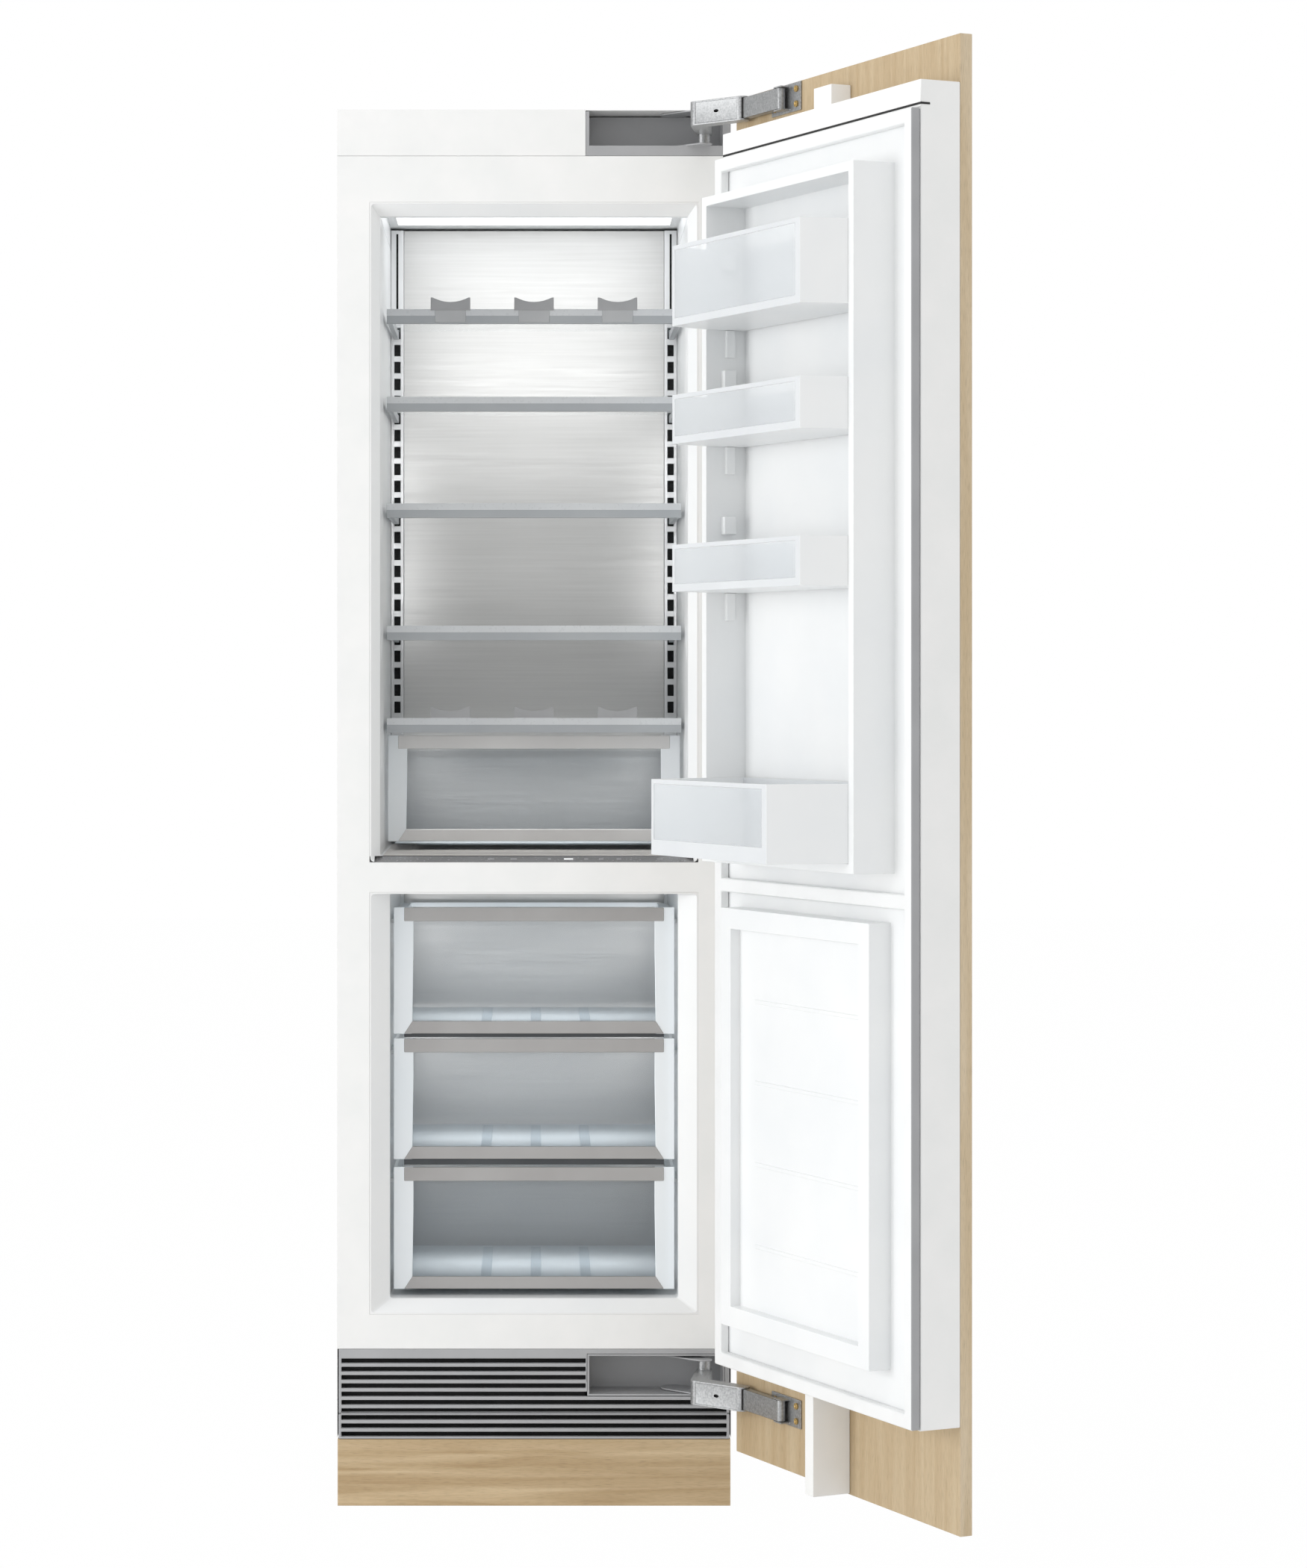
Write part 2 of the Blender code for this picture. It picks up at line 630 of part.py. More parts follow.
def casing():
    """Steel wrapper, front frame with its mullion, and the fascia over the door."""
    x = (-HALF_WIDTH, HALF_WIDTH)
    y = (FRAME_BACK, CABINET_DEPTH)
    z = (KICK_HEIGHT, CABINET_HEIGHT)
    wrapper = block("casing_wrapper", x, y, z, "white_steel")
    inside = block("casing_inside", (x[0] + CASING_SHEET, x[1] - CASING_SHEET),
                   (y[0] - OVERRUN, y[1] - CASING_SHEET),
                   (z[0] - OVERRUN, z[1] - CASING_SHEET))
    cut(wrapper, inside)
    frame = block("front_frame", x, (0, FRAME_PLATE), (GRILLE_TOP, FASCIA_LOW), "white_steel")
    hole_half = FLARE_HALF + LINER_WALL + GAP
    through = (-OVERRUN, FRAME_PLATE + OVERRUN)
    upper = block("upper_hole", (-hole_half, hole_half), through,
                  (MULLION_HIGH, UPPER_FLARE_TOP + LINER_WALL + GAP))
    lower = block("lower_hole", (-hole_half, hole_half), through,
                  (LOWER_FLARE_FLOOR - LINER_WALL - GAP, MULLION_LOW))
    cut(frame, upper, lower)
    block("top_fascia", (-HALF_WIDTH, TOP_BOX_LEFT - GAP), (0, FRAME_PLATE),
          (FASCIA_LOW + GAP, CABINET_HEIGHT), "white_steel")


def insulation():
    """Foam between the casing and the liners, with room for the lamps and the control strip."""
    foam = block("foam_insulation", (-INSIDE_HALF, INSIDE_HALF),
                 (FLARE_DEPTH + LINER_WALL + FRAME_PLATE, CABINET_DEPTH - CASING_SHEET - GAP),
                 (GRILLE_TOP + FRAME_PLATE, FASCIA_LOW - FRAME_PLATE), "foam")
    play = LINER_WALL + GAP
    upper = block("upper_cavity", (-UPPER_HALF - play, UPPER_HALF + play),
                  (-OVERRUN, UPPER_BACK + play), (UPPER_FLOOR - play, UPPER_CEILING + play))
    lower = block("lower_cavity", (-LOWER_HALF - play, LOWER_HALF + play),
                  (-OVERRUN, LOWER_BACK + play), (LOWER_FLOOR - play, LOWER_CEILING + play))
    control = block("control_room", (-CONTROL_HALF, CONTROL_HALF),
                    (-OVERRUN, CONTROL_DEPTH + GAP), (CONTROL_FOOT - GAP, UPPER_FLOOR))
    lamp = block("lamp_room", (-CEILING_LAMP_HALF - GAP, CEILING_LAMP_HALF + GAP),
                 (-OVERRUN, CEILING_LAMP_BACK + GAP),
                 (UPPER_CEILING, UPPER_CEILING + CEILING_LAMP_HEIGHT + GAP * 2))
    strips = [block("strip_room", x, strip_y(GAP), strip_z(GAP))
              for x in both(UPPER_HALF, UPPER_HALF + LINER_WALL + SIDE_STRIP_THICK + GAP * 2)]
    cut(foam, upper, lower, control, lamp, *strips)


def strip_y(play):
    """Depth span of a side lamp strip."""
    half = SIDE_STRIP_WIDTH / 2 + play
    return (SIDE_LAMP_Y - half, SIDE_LAMP_Y + half)


def strip_z(play):
    """Height span of a side lamp strip."""
    margin = SIDE_STRIP_MARGIN + play
    return (min(SIDE_LAMP_HEIGHTS) - margin, max(SIDE_LAMP_HEIGHTS) + margin)


def lens_boxes(x, play):
    """The lenses of one side lamp strip, or the slots for them in the liner."""
    half_y = SIDE_LENS_WIDTH / 2 + play
    half_z = SIDE_LENS_HEIGHT / 2 + play
    return [(x, (SIDE_LAMP_Y - half_y, SIDE_LAMP_Y + half_y), (z - half_z, z + half_z))
            for z in SIDE_LAMP_HEIGHTS]


def liners():
    """The two moulded compartments; the lower one carries ledges for its drawers."""
    upper = tub("upper_liner", (UPPER_HALF, UPPER_FLOOR, UPPER_THROAT_TOP),
                (FLARE_HALF, MULLION_HIGH + LINER_WALL, UPPER_FLARE_TOP),
                (FLARE_DEPTH, UPPER_BACK), "liner", floor_only=True)
    outer = UPPER_HALF + LINER_WALL - CEILING_LEDGE
    raised = block("raised_ceiling", (-outer, outer),
                   (CEILING_START - LINER_WALL, UPPER_BACK + LINER_WALL - CEILING_LEDGE),
                   (UPPER_THROAT_TOP + LINER_WALL / 2, UPPER_CEILING + LINER_WALL))
    half = UPPER_HALF + CEILING_LEDGE
    raised_room = block("raised_room", (-half, half), (CEILING_START, UPPER_BACK + CEILING_LEDGE),
                        (UPPER_THROAT_TOP - LINER_WALL / 2, UPPER_CEILING))
    fuse(upper, raised)
    control = block("control_window", (-CONTROL_HALF, CONTROL_HALF),
                    (-OVERRUN, CONTROL_DEPTH), (CONTROL_FOOT, UPPER_FLOOR))
    lamp = block("lamp_window", (-CEILING_LAMP_HALF - GAP, CEILING_LAMP_HALF + GAP),
                 (CEILING_LAMP_FRONT - GAP, CEILING_LAMP_BACK + GAP),
                 (UPPER_CEILING - OVERRUN, UPPER_CEILING + OVERRUN))
    slots = [blocks("lens_slots", lens_boxes(x, GAP))
             for x in both(UPPER_HALF - OVERRUN, UPPER_HALF + OVERRUN)]
    cut(upper, raised_room, control, lamp, *slots)
    lower = tub("lower_liner", (LOWER_HALF, LOWER_FLOOR, LOWER_CEILING),
                (FLARE_HALF, LOWER_FLARE_FLOOR, MULLION_LOW - LINER_WALL),
                (FLARE_DEPTH, LOWER_BACK), "liner")
    y = (DRAWER_FRONT + DRAWER_FACE_THICK + RUNNER_START, LOWER_BACK - LEDGE_END)
    ledges = [(x, y, (runner_low(high) - GAP - LEDGE_HEIGHT, runner_low(high) - GAP))
              for low, high in DRAWER_FACES
              for x in both(LOWER_HALF - LEDGE_REACH, LOWER_HALF + LINER_WALL / 2)]
    fuse(lower, blocks("drawer_ledges", ledges))


def runner_low(face_high):
    """Underside of the runner flange of the drawer with this face."""
    return face_high - TRAY_DROP - RUNNER_THICK


def control_strip():
    """Touch strip that slopes up from the mullion to the sill."""
    outline = [(GAP, CONTROL_FOOT + GAP), (CONTROL_DEPTH - GAP, CONTROL_FOOT + GAP),
               (CONTROL_DEPTH - GAP, UPPER_FLOOR - GAP), (GAP, MULLION_HIGH)]
    half = CONTROL_HALF - GAP
    strip = slab("control_panel", outline, (-half, half), "black", upright=True)
    plate = block("frame_clearance", (-CONTROL_HALF, CONTROL_HALF),
                  (-OVERRUN, FRAME_BACK), (CONTROL_FOOT - OVERRUN, MULLION_HIGH + GAP))
    cut(strip, plate)


def rear_wall():
    """Brushed steel wall over the cooling coil, between two slotted shelf tracks."""
    z = (UPPER_FLOOR + LINER_CORNER, UPPER_CEILING - LINER_CORNER)
    half = TRACK_INNER - GAP
    block("steel_back_wall", (-half, half), (WALL_FACE, WALL_FACE + WALL_SHEET), z, "brushed")
    back = UPPER_BACK - LINER_CORNER
    for name, side in (("shelf_track_left", 0), ("shelf_track_right", 1)):
        span = both(TRACK_INNER, TRACK_INNER + TRACK_WIDTH)[side]
        track = block(name, span, (TRACK_FACE, back), z, "liner")
        slot_x = both(TRACK_MIDDLE - SLOT_WIDTH / 2, TRACK_MIDDLE + SLOT_WIDTH / 2)[side]
        slots = [(slot_x, (TRACK_FACE - OVERRUN, TRACK_FACE + SLOT_DEPTH),
                  (slot_z(number) - SLOT_HEIGHT / 2, slot_z(number) + SLOT_HEIGHT / 2))
                 for number in range(SLOT_COUNT)]
        cut(track, blocks(name + "_slots", slots))


def slot_z(number):
    """Middle height of a track slot, counted from the top."""
    return TOP_SLOT - SLOT_SPACING * number


def lamps():
    """Ceiling lamp and the two strips whose lenses show in the side walls."""
    block("ceiling_light", (-CEILING_LAMP_HALF, CEILING_LAMP_HALF),
          (CEILING_LAMP_FRONT, CEILING_LAMP_BACK),
          (UPPER_CEILING + GAP, UPPER_CEILING + CEILING_LAMP_HEIGHT), "lamp")
    behind = UPPER_HALF + LINER_WALL + GAP
    for name, side in (("side_lights_left", 0), ("side_lights_right", 1)):
        strip = block(name, both(behind, behind + SIDE_STRIP_THICK)[side],
                      strip_y(0), strip_z(0), "lamp")
        lens_x = both(UPPER_HALF + GAP, behind + SIDE_STRIP_THICK / 2)[side]
        fuse(strip, blocks(name + "_lenses", lens_boxes(lens_x, 0)))


def shelves():
    """Five glass shelves in moulded frames that hook into the tracks."""
    for count, top in enumerate(SHELF_TOPS):
        shelf(count, top)


def nearest_slot(height):
    """Middle height of the track slot nearest to a height."""
    number = round((TOP_SLOT - height) / SLOT_SPACING)
    return slot_z(min(max(number, 0), SLOT_COUNT - 1))


def shelf(count, top):
    """One shelf; the top and bottom ones carry three bottle cradles on the front trim."""
    number = count + 1
    rail = (top - SHELF_RAIL_DROP - SHELF_RAIL_HEIGHT, top - SHELF_RAIL_DROP)
    slot = nearest_slot(sum(rail) / 2)
    hook = (slot - HOOK_HEIGHT / 2, slot + HOOK_HEIGHT / 2)
    trim_y = (SHELF_FRONT, SHELF_FRONT + SHELF_TRIM)
    rail_end = TRACK_FACE - GAP
    plate_start = rail_end - SHELF_RAIL
    frame = block(f"shelf_frame_{number}", (-SHELF_HALF, SHELF_HALF), trim_y,
                  (top - SHELF_TRIM_HEIGHT, top), "trim")
    rails = [(x, (SHELF_FRONT + SHELF_TRIM / 2, plate_start + SHELF_RAIL / 2), rail)
             for x in both(SHELF_HALF - SHELF_RAIL, SHELF_HALF)]
    hook_sides = both(TRACK_MIDDLE - HOOK_WIDTH / 2, TRACK_MIDDLE + HOOK_WIDTH / 2)
    plates = [(x, (plate_start, rail_end), (min(rail[0], hook[0]), max(rail[1], hook[1])))
              for x in both(TRACK_MIDDLE - HOOK_WIDTH / 2, SHELF_HALF - HOOK_PLATE_INSET)]
    hooks = [(x, (rail_end - SHELF_RAIL / 2, TRACK_FACE + HOOK_REACH), hook) for x in hook_sides]
    fuse(frame, blocks("shelf_rails", rails), blocks("shelf_plates", plates),
         blocks("shelf_hooks", hooks))
    if count in CRADLE_SHELVES:
        cradles(frame, top, count == CLIPPED_SHELF)
    glass_half = SHELF_HALF - GAP
    block(f"shelf_glass_{number}", (-glass_half, glass_half),
          (trim_y[1] + GAP, plate_start - GAP),
          (rail[1] + GAP, rail[1] + GAP + SHELF_GLASS), "glass")


def cradles(frame, top, clipped):
    """Three saddles that keep a lying bottle from rolling; clipped ones grip the trim's face."""
    front = SHELF_FRONT - CRADLE_LIP if clipped else SHELF_FRONT + CRADLE_LIP
    back = SHELF_FRONT - CRADLE_LIP + CRADLE_DEPTH
    half = CRADLE_WIDTH / 2
    clip_half = CRADLE_CLIP_WIDTH / 2
    for place in (-1, 0, 1):
        x = SHELF_HALF * CRADLE_SHARE * place
        saddle = block("cradle", (x - half, x + half), (front, back),
                       (top - CRADLE_LIP, top + CRADLE_HEIGHT))
        bottle = rod("bottle_round",
                     (x, (front + back) / 2, top + CRADLE_HEIGHT - CRADLE_DIP + CRADLE_RADIUS),
                     CRADLE_RADIUS, CRADLE_DEPTH + OVERRUN, "Y", sides=CRADLE_SIDES)
        cut(saddle, bottle)
        fuse(frame, saddle)
        if clipped:
            fuse(frame, block("cradle_clip", (x - clip_half, x + clip_half),
                              (SHELF_FRONT - CRADLE_CLIP_THICK, SHELF_FRONT + CRADLE_LIP),
                              (top - SHELF_TRIM_HEIGHT + CRADLE_LIP, top - CRADLE_LIP / 2)))


def drawer(names, face, half, front, rear, tray, kind):
    """A drawer: an open tray and a face with a clear window set in it."""
    low, high = face
    tray_half, tray_low, tray_high = tray
    back = front + DRAWER_FACE_THICK
    pan = block(names[0], (-tray_half, tray_half), (back + GAP, rear), (tray_low, tray_high), kind)
    room = block("tray_room", (DRAWER_WALL - tray_half, tray_half - DRAWER_WALL),
                 (back + GAP + DRAWER_WALL, rear - DRAWER_WALL),
                 (tray_low + DRAWER_WALL, tray_high + OVERRUN))
    plate = block(names[1], (-half, half), (front, back), (low, high), "clear")
    window = block("window_recess", (WINDOW_SIDE - half, half - WINDOW_SIDE),
                   (front - OVERRUN, front + WINDOW_DEPTH),
                   (low + WINDOW_LOW, high - WINDOW_HIGH))
    cut(plate, window)
    return pan, room


def drawers():
    """The crisper under the shelves and the three drawers of the lower compartment."""
    pan, room = drawer(("crisper_tray", "crisper_front"), (CRISPER_LOW, CRISPER_HIGH),
                       CRISPER_HALF, CRISPER_FRONT, CRISPER_REAR,
                       (CRISPER_TRAY_HALF, CRISPER_TRAY_LOW, CRISPER_TRAY_HIGH), "clear")
    skid_x = CRISPER_TRAY_HALF - SKID_INSET
    skids = [(x, (CRISPER_FRONT + SKID_INSET, CRISPER_REAR - SKID_INSET),
              (UPPER_FLOOR + GAP, CRISPER_TRAY_LOW + DRAWER_WALL / 2))
             for x in both(skid_x - SKID_WIDTH, skid_x)]
    fuse(pan, blocks("crisper_skids", skids))
    cut(pan, room)
    for count, face in enumerate(DRAWER_FACES):
        number = count + 1
        tray_high = face[1] - TRAY_DROP
        pan, room = drawer((f"drawer_{number}_tray", f"drawer_{number}_front"), face,
                           DRAWER_HALF, DRAWER_FRONT, DRAWER_REAR,
                           (DRAWER_TRAY_HALF, face[0] + TRAY_FOOT, tray_high), "clear")
        runner_y = (DRAWER_FRONT + DRAWER_FACE_THICK + RUNNER_START, DRAWER_REAR - RUNNER_END)
        flange = block("runner_flange", (-DRAWER_HALF, DRAWER_HALF), runner_y,
                       (runner_low(face[1]), tray_high - RUNNER_STEP))
        fuse(pan, flange)
        cut(pan, room)


def grilles():
    """Louvred air grille with the lower hinge pocket, the kick grille and the oak toe board."""
    upper = block("upper_grille", (-GRILLE_HALF, GRILLE_HALF), (0, GRILLE_THICK),
                  (GRILLE_SPLIT + GAP, GRILLE_TOP - GAP), "gray_plastic")
    edge = GRILLE_HALF - SLAT_MARGIN
    pocket_left = POCKET_LEFT - BOX_WALL - GAP
    ends = [pocket_left - SLAT_MARGIN / 2] * SHORT_GAPS + [edge] * (UPPER_GAPS - SHORT_GAPS)
    gaps = [((-edge, end), (-OVERRUN, GRILLE_THICK + OVERRUN), slat_gap(FIRST_GAP, count))
            for count, end in enumerate(ends)]
    pocket = block("pocket_hole", (pocket_left, POCKET_RIGHT + BOX_WALL + GAP),
                   (-OVERRUN, GRILLE_THICK + OVERRUN),
                   (BOTTOM_BOX_LOW - GAP, BOTTOM_BOX_HIGH + GAP))
    cut(upper, blocks("upper_gaps", gaps), pocket)
    kick = block("kick_grille", (-GRILLE_HALF, GRILLE_HALF),
                 (-KICK_GRILLE_STEP, GRILLE_THICK - KICK_GRILLE_STEP),
                 (KICK_HEIGHT + GAP, GRILLE_SPLIT - GAP), "gray_plastic")
    kick_gaps = [((-edge, edge), (-KICK_GRILLE_STEP - OVERRUN, GRILLE_THICK + OVERRUN),
                  slat_gap(FIRST_KICK_GAP, count)) for count in range(KICK_GAPS)]
    cut(kick, blocks("kick_gaps", kick_gaps))
    block("toe_kick", (-TOE_HALF, TOE_HALF), (-KICK_GRILLE_STEP, TOE_BOARD - KICK_GRILLE_STEP),
          (0, KICK_HEIGHT - GAP), "oak")


def slat_gap(first, count):
    """Height span of one gap between slats, counted from the top."""
    middle = first - SLAT_SPACING * count
    return (middle - SLAT_GAP / 2, middle + SLAT_GAP / 2)


def base():
    """Base pan with roller brackets, two levelling feet and a pair of rollers on one axle."""
    pan = block("base_pan", (-INSIDE_HALF, INSIDE_HALF),
                (PAN_FRONT, CABINET_DEPTH - CASING_SHEET - GAP), (PAN_LOW, PAN_WALL_TOP), "zinc")
    room = block("pan_room", (PAN_SHEET - INSIDE_HALF, INSIDE_HALF - PAN_SHEET),
                 (PAN_FRONT - OVERRUN, CABINET_DEPTH + OVERRUN),
                 (PAN_LOW + PAN_SHEET, PAN_WALL_TOP + OVERRUN))
    inner = ROLLER_X - ROLLER_WIDTH / 2 - GAP
    half = ROLLER_BRACKET_LENGTH / 2
    brackets = [(x, (ROLLER_Y - half, ROLLER_Y + half),
                 (ROLLER_RADIUS - AXLE_RADIUS * 2, PAN_LOW + PAN_SHEET / 2))
                for x in both(inner - ROLLER_BRACKET, inner)]
    bore = rod("axle_bore", (0, ROLLER_Y, ROLLER_RADIUS), AXLE_RADIUS + PIN_PLAY,
               CABINET_WIDTH, "X", sides=PIN_SIDES)
    cut(pan, room)
    fuse(pan, blocks("roller_brackets", brackets))
    cut(pan, bore)
    axle = rod("rear_rollers", (0, ROLLER_Y, ROLLER_RADIUS), AXLE_RADIUS,
               (ROLLER_X + ROLLER_WIDTH / 2) * 2, "X", "rubber", sides=PIN_SIDES)
    fuse(axle, *[rod("wheel", (x, ROLLER_Y, ROLLER_RADIUS), ROLLER_RADIUS, ROLLER_WIDTH, "X")
                 for x in (-ROLLER_X, ROLLER_X)])
    for name, x in (("front_leg_left", -FOOT_X), ("front_leg_right", FOOT_X)):
        stud_top = PAN_LOW - GAP
        foot = rod(name, (x, FOOT_Y, FOOT_THICK / 2), FOOT_RADIUS, FOOT_THICK, "Z", "zinc")
        stud = rod("stud", (x, FOOT_Y, (stud_top + FOOT_THICK / 2) / 2), STUD_RADIUS,
                   stud_top - FOOT_THICK / 2, "Z", sides=PIN_SIDES)
        fuse(foot, stud)


def fan(name, middle, radius, hub, length, blade_width):
    """An axial fan about a line parallel to Y: a hub with pitched blades."""
    wheel = rod(name, middle, hub, length, "Y", "black", sides=PIN_SIDES)
    for count in range(BLADE_COUNT):
        turn = Matrix.Rotation(math.tau * count / BLADE_COUNT, 4, 'Y')
        shape = bmesh.new()
        bmesh.ops.create_cube(shape, size=1)
        size = Vector((radius - hub / 2, BLADE_THICK, blade_width))
        bmesh.ops.scale(shape, vec=size, verts=shape.verts)
        bmesh.ops.rotate(shape, matrix=Matrix.Rotation(BLADE_PITCH, 3, 'X'), verts=shape.verts)
        bmesh.ops.translate(shape, vec=((radius + hub / 2) / 2, 0, 0), verts=shape.verts)
        bmesh.ops.transform(shape, matrix=turn, verts=shape.verts)
        mesh = bpy.data.meshes.new("blade")
        shape.to_mesh(mesh)
        shape.free()
        fuse(wheel, add("blade", mesh, Vector(middle), None, None))
    return wheel


def fin_boxes(span, front, z, count, depth):
    """Slots that leave a row of fins across a coil block."""
    step = (span[1] - span[0]) / count
    half = FIN_GAP / 2
    middles = [span[0] + step * place + step / 2 for place in range(count)]
    return [((x - half, x + half), (front - OVERRUN, front + depth),
             (z[0] - OVERRUN, z[1] + OVERRUN)) for x in middles]


def machine():
    """Compressor, condenser with its fan, and the cooling coil with its fan."""
    low = PAN_LOW + PAN_SHEET + GAP
    base_half = COMPRESSOR_BASE_HALF
    seat = block("compressor", (COMPRESSOR_X - base_half, COMPRESSOR_X + base_half),
                 (COMPRESSOR_Y - base_half, COMPRESSOR_Y + base_half),
                 (low, low + COMPRESSOR_BASE), "black")
    fuse(seat, compressor_shell(low + COMPRESSOR_BASE / 2))

    x = (CONDENSER_LOW_X, CONDENSER_HIGH_X)
    back = CONDENSER_Y + CONDENSER_THICK
    z = (low, low + CONDENSER_HEIGHT)
    coil = block("condenser", x, (CONDENSER_Y, back), z, "black")
    cut(coil, blocks("condenser_fins", fin_boxes(x, CONDENSER_Y, z, FIN_COUNT, FIN_DEPTH)))
    fan_x = sum(x) / 2
    fan_z = sum(z) / 2
    shroud = block("shroud", (fan_x - SHROUD_HALF, fan_x + SHROUD_HALF),
                   (back - SHROUD_BACK, back + SHROUD_DEPTH), z)
    tunnel = rod("tunnel", (fan_x, back + SHROUD_DEPTH / 2 + SHROUD_BACK, fan_z),
                 FAN_RADIUS + FAN_CLEARANCE, SHROUD_DEPTH + SHROUD_BACK, "Y", sides=CRADLE_SIDES)
    motor = rod("motor", (fan_x, back + MOTOR_LENGTH / 2, fan_z), MOTOR_RADIUS,
                MOTOR_LENGTH + SHROUD_BACK, "Y", sides=PIN_SIDES)
    inner = INSIDE_HALF - PAN_SHEET - GAP
    baffle = block("baffle", (-inner, inner), (back - BAFFLE_SET - BAFFLE_THICK, back - BAFFLE_SET), z)
    fuse(coil, baffle, shroud)
    cut(coil, tunnel)
    fuse(coil, motor)
    fan_y = back + MOTOR_LENGTH + SHROUD_BACK / 2 + GAP + FAN_LENGTH / 2
    fan("condenser_fan", (fan_x, fan_y, fan_z), FAN_RADIUS, FAN_HUB, FAN_LENGTH, BLADE_WIDTH)

    rear = UPPER_BACK - GAP
    z = (EVAPORATOR_LOW, EVAPORATOR_LOW + EVAPORATOR_HEIGHT)
    x = (-EVAPORATOR_HALF, EVAPORATOR_HALF)
    front = rear - EVAPORATOR_THICK
    cold = block("evaporator", x, (front, rear), z, "aluminium")
    cut(cold, blocks("evaporator_fins", fin_boxes(x, front, z, EVAPORATOR_FINS, FIN_DEPTH)))
    arm = block("fan_arm", (-FAN_ARM_HALF, FAN_ARM_HALF), (rear - FAN_ARM_THICK, rear - GAP),
                (z[1] - FAN_ARM_THICK, COLD_FAN_Z + FAN_ARM_HALF))
    motor_y = rear - FAN_ARM_THICK - COLD_MOTOR_LENGTH / 2
    motor = rod("cold_motor", (0, motor_y, COLD_FAN_Z), MOTOR_RADIUS,
                COLD_MOTOR_LENGTH + FAN_ARM_THICK, "Y", sides=PIN_SIDES)
    fuse(cold, arm, motor)
    fan_y = motor_y - (COLD_MOTOR_LENGTH + FAN_ARM_THICK) / 2 - GAP - COLD_FAN_LENGTH / 2
    fan("evaporator_fan", (0, fan_y, COLD_FAN_Z), COLD_FAN_RADIUS, FAN_HUB,
        COLD_FAN_LENGTH, COLD_BLADE_WIDTH)


def compressor_shell(foot):
    """Drawn steel can: two domes that meet at a welded belt, turned about Z."""
    radius, height = COMPRESSOR_RADIUS, COMPRESSOR_HEIGHT - COMPRESSOR_BASE
    dome = height * DOME_SHARE
    rise = [math.radians(step) for step in (90, 60, 30, 0)]
    profile = [(radius * math.cos(turn), height - dome + dome * math.sin(turn)) for turn in rise]
    profile += [(radius, height / 2 + COMPRESSOR_SEAM), (radius + COMPRESSOR_SEAM, height / 2),
                (radius, height / 2 - COMPRESSOR_SEAM)]
    profile += [(radius * math.cos(turn), dome - dome * math.sin(turn)) for turn in reversed(rise)]
    profile[0] = (0, height)
    profile[-1] = (0, 0)
    shape = bmesh.new()
    verts = [shape.verts.new((first, 0, second)) for first, second in profile]
    for first, second in zip(verts, verts[1:]):
        shape.edges.new((first, second))
    mesh = bpy.data.meshes.new("compressor_shell")
    shape.to_mesh(mesh)
    shape.free()
    shell = add("compressor_shell", mesh, Vector((COMPRESSOR_X, COMPRESSOR_Y, foot)), None, None)
    spin = shell.modifiers.new("spin", 'SCREW')
    spin.steps = COMPRESSOR_SIDES
    spin.render_steps = COMPRESSOR_SIDES
    spin.use_merge_vertices = True
    spin.merge_threshold = MERGE_DISTANCE
    spin.use_normal_calculate = True
    return shell


def elbow(start, far, first, second):
    """Point at one distance from start and another from far, to the right of the line."""
    line = far - start
    along = (first ** 2 - second ** 2 + line.length ** 2) / (2 * line.length)
    across = math.sqrt(first ** 2 - along ** 2)
    unit = line.normalized()
    return start + unit * along + Vector((unit.y, -unit.x)) * across


def turned(point, centre, angle):
    """A point turned about a centre."""
    return centre + Matrix.Rotation(angle, 2) @ (point - centre)


def hinge_places():
    """Pivots of the linkage, and the directions of its arm and link with the door open."""
    swing = Vector((SWING_X, SWING_Y))
    arm_pivot = Vector((ARM_PIVOT_X, ARM_PIVOT_Y))
    shut = Vector((PANEL_HINGE_EDGE - LINK_PIVOT_U, PANEL_FACE + LINK_PIVOT_N))
    open_place = turned(shut, swing, DOOR_OPEN)
    open_elbow = elbow(arm_pivot, open_place, ARM_LENGTH, LINK_LENGTH)
    return {
        "swing": swing,
        "arm_pivot": arm_pivot,
        "link_pivot": shut,
        "arm_open": heading(arm_pivot, open_elbow),
        "link_open": heading(shut, turned(open_elbow, swing, -DOOR_OPEN)),
    }


def empty(name, place, angle, parent=None):
    """An empty on a joint's axis; a child's place is written with its parent unturned."""
    made = bpy.data.objects.new(name, None)
    made.location = (place.x, place.y, 0)
    made.rotation_euler = (0, 0, angle)
    MODEL.objects.link(made)
    if parent:
        follow(made, parent)
    return made


def round_end(middle, radius, start, end, steps):
    """Points of an arc."""
    turns = [start + (end - start) * step / steps for step in range(steps + 1)]
    return [(middle[0] + radius * math.cos(turn), middle[1] + radius * math.sin(turn))
            for turn in turns]


def heading(start, end):
    """Direction of a line in plan, measured from +X."""
    return math.atan2(end[1] - start[1], end[0] - start[0])


def bar(start, end, first_radius, last_radius):
    """Outline of a flat bar with round ends between two points."""
    way = heading(start, end)
    quarter = math.pi / 2
    return (round_end(end, last_radius, way - quarter, way + quarter, END_STEPS)
            + round_end(start, first_radius, way + quarter, way + 3 * quarter, END_STEPS))


def cranked_bar(start, knee, end, radii):
    """Outline of a flat bar that bends to the left at its knee."""
    first, middle, last = radii
    way_in, way_out = heading(start, knee), heading(knee, end)
    quarter = math.pi / 2
    reach = middle / math.cos((way_out - way_in) / 2)
    inward = (way_in + way_out) / 2 + quarter
    corner = (knee[0] + reach * math.cos(inward), knee[1] + reach * math.sin(inward))
    return (round_end(end, last, way_out - quarter, way_out + quarter, END_STEPS)
            + [corner]
            + round_end(start, first, way_in + quarter, way_in + 3 * quarter, END_STEPS)
            + round_end(knee, middle, way_in - quarter, way_out - quarter, END_STEPS))


def placed(origin, way, points):
    """Points given along a direction and to the left of it."""
    cos, sin = math.cos(way), math.sin(way)
    return [(origin[0] + along * cos - left * sin, origin[1] + along * sin + left * cos)
            for along, left in points]


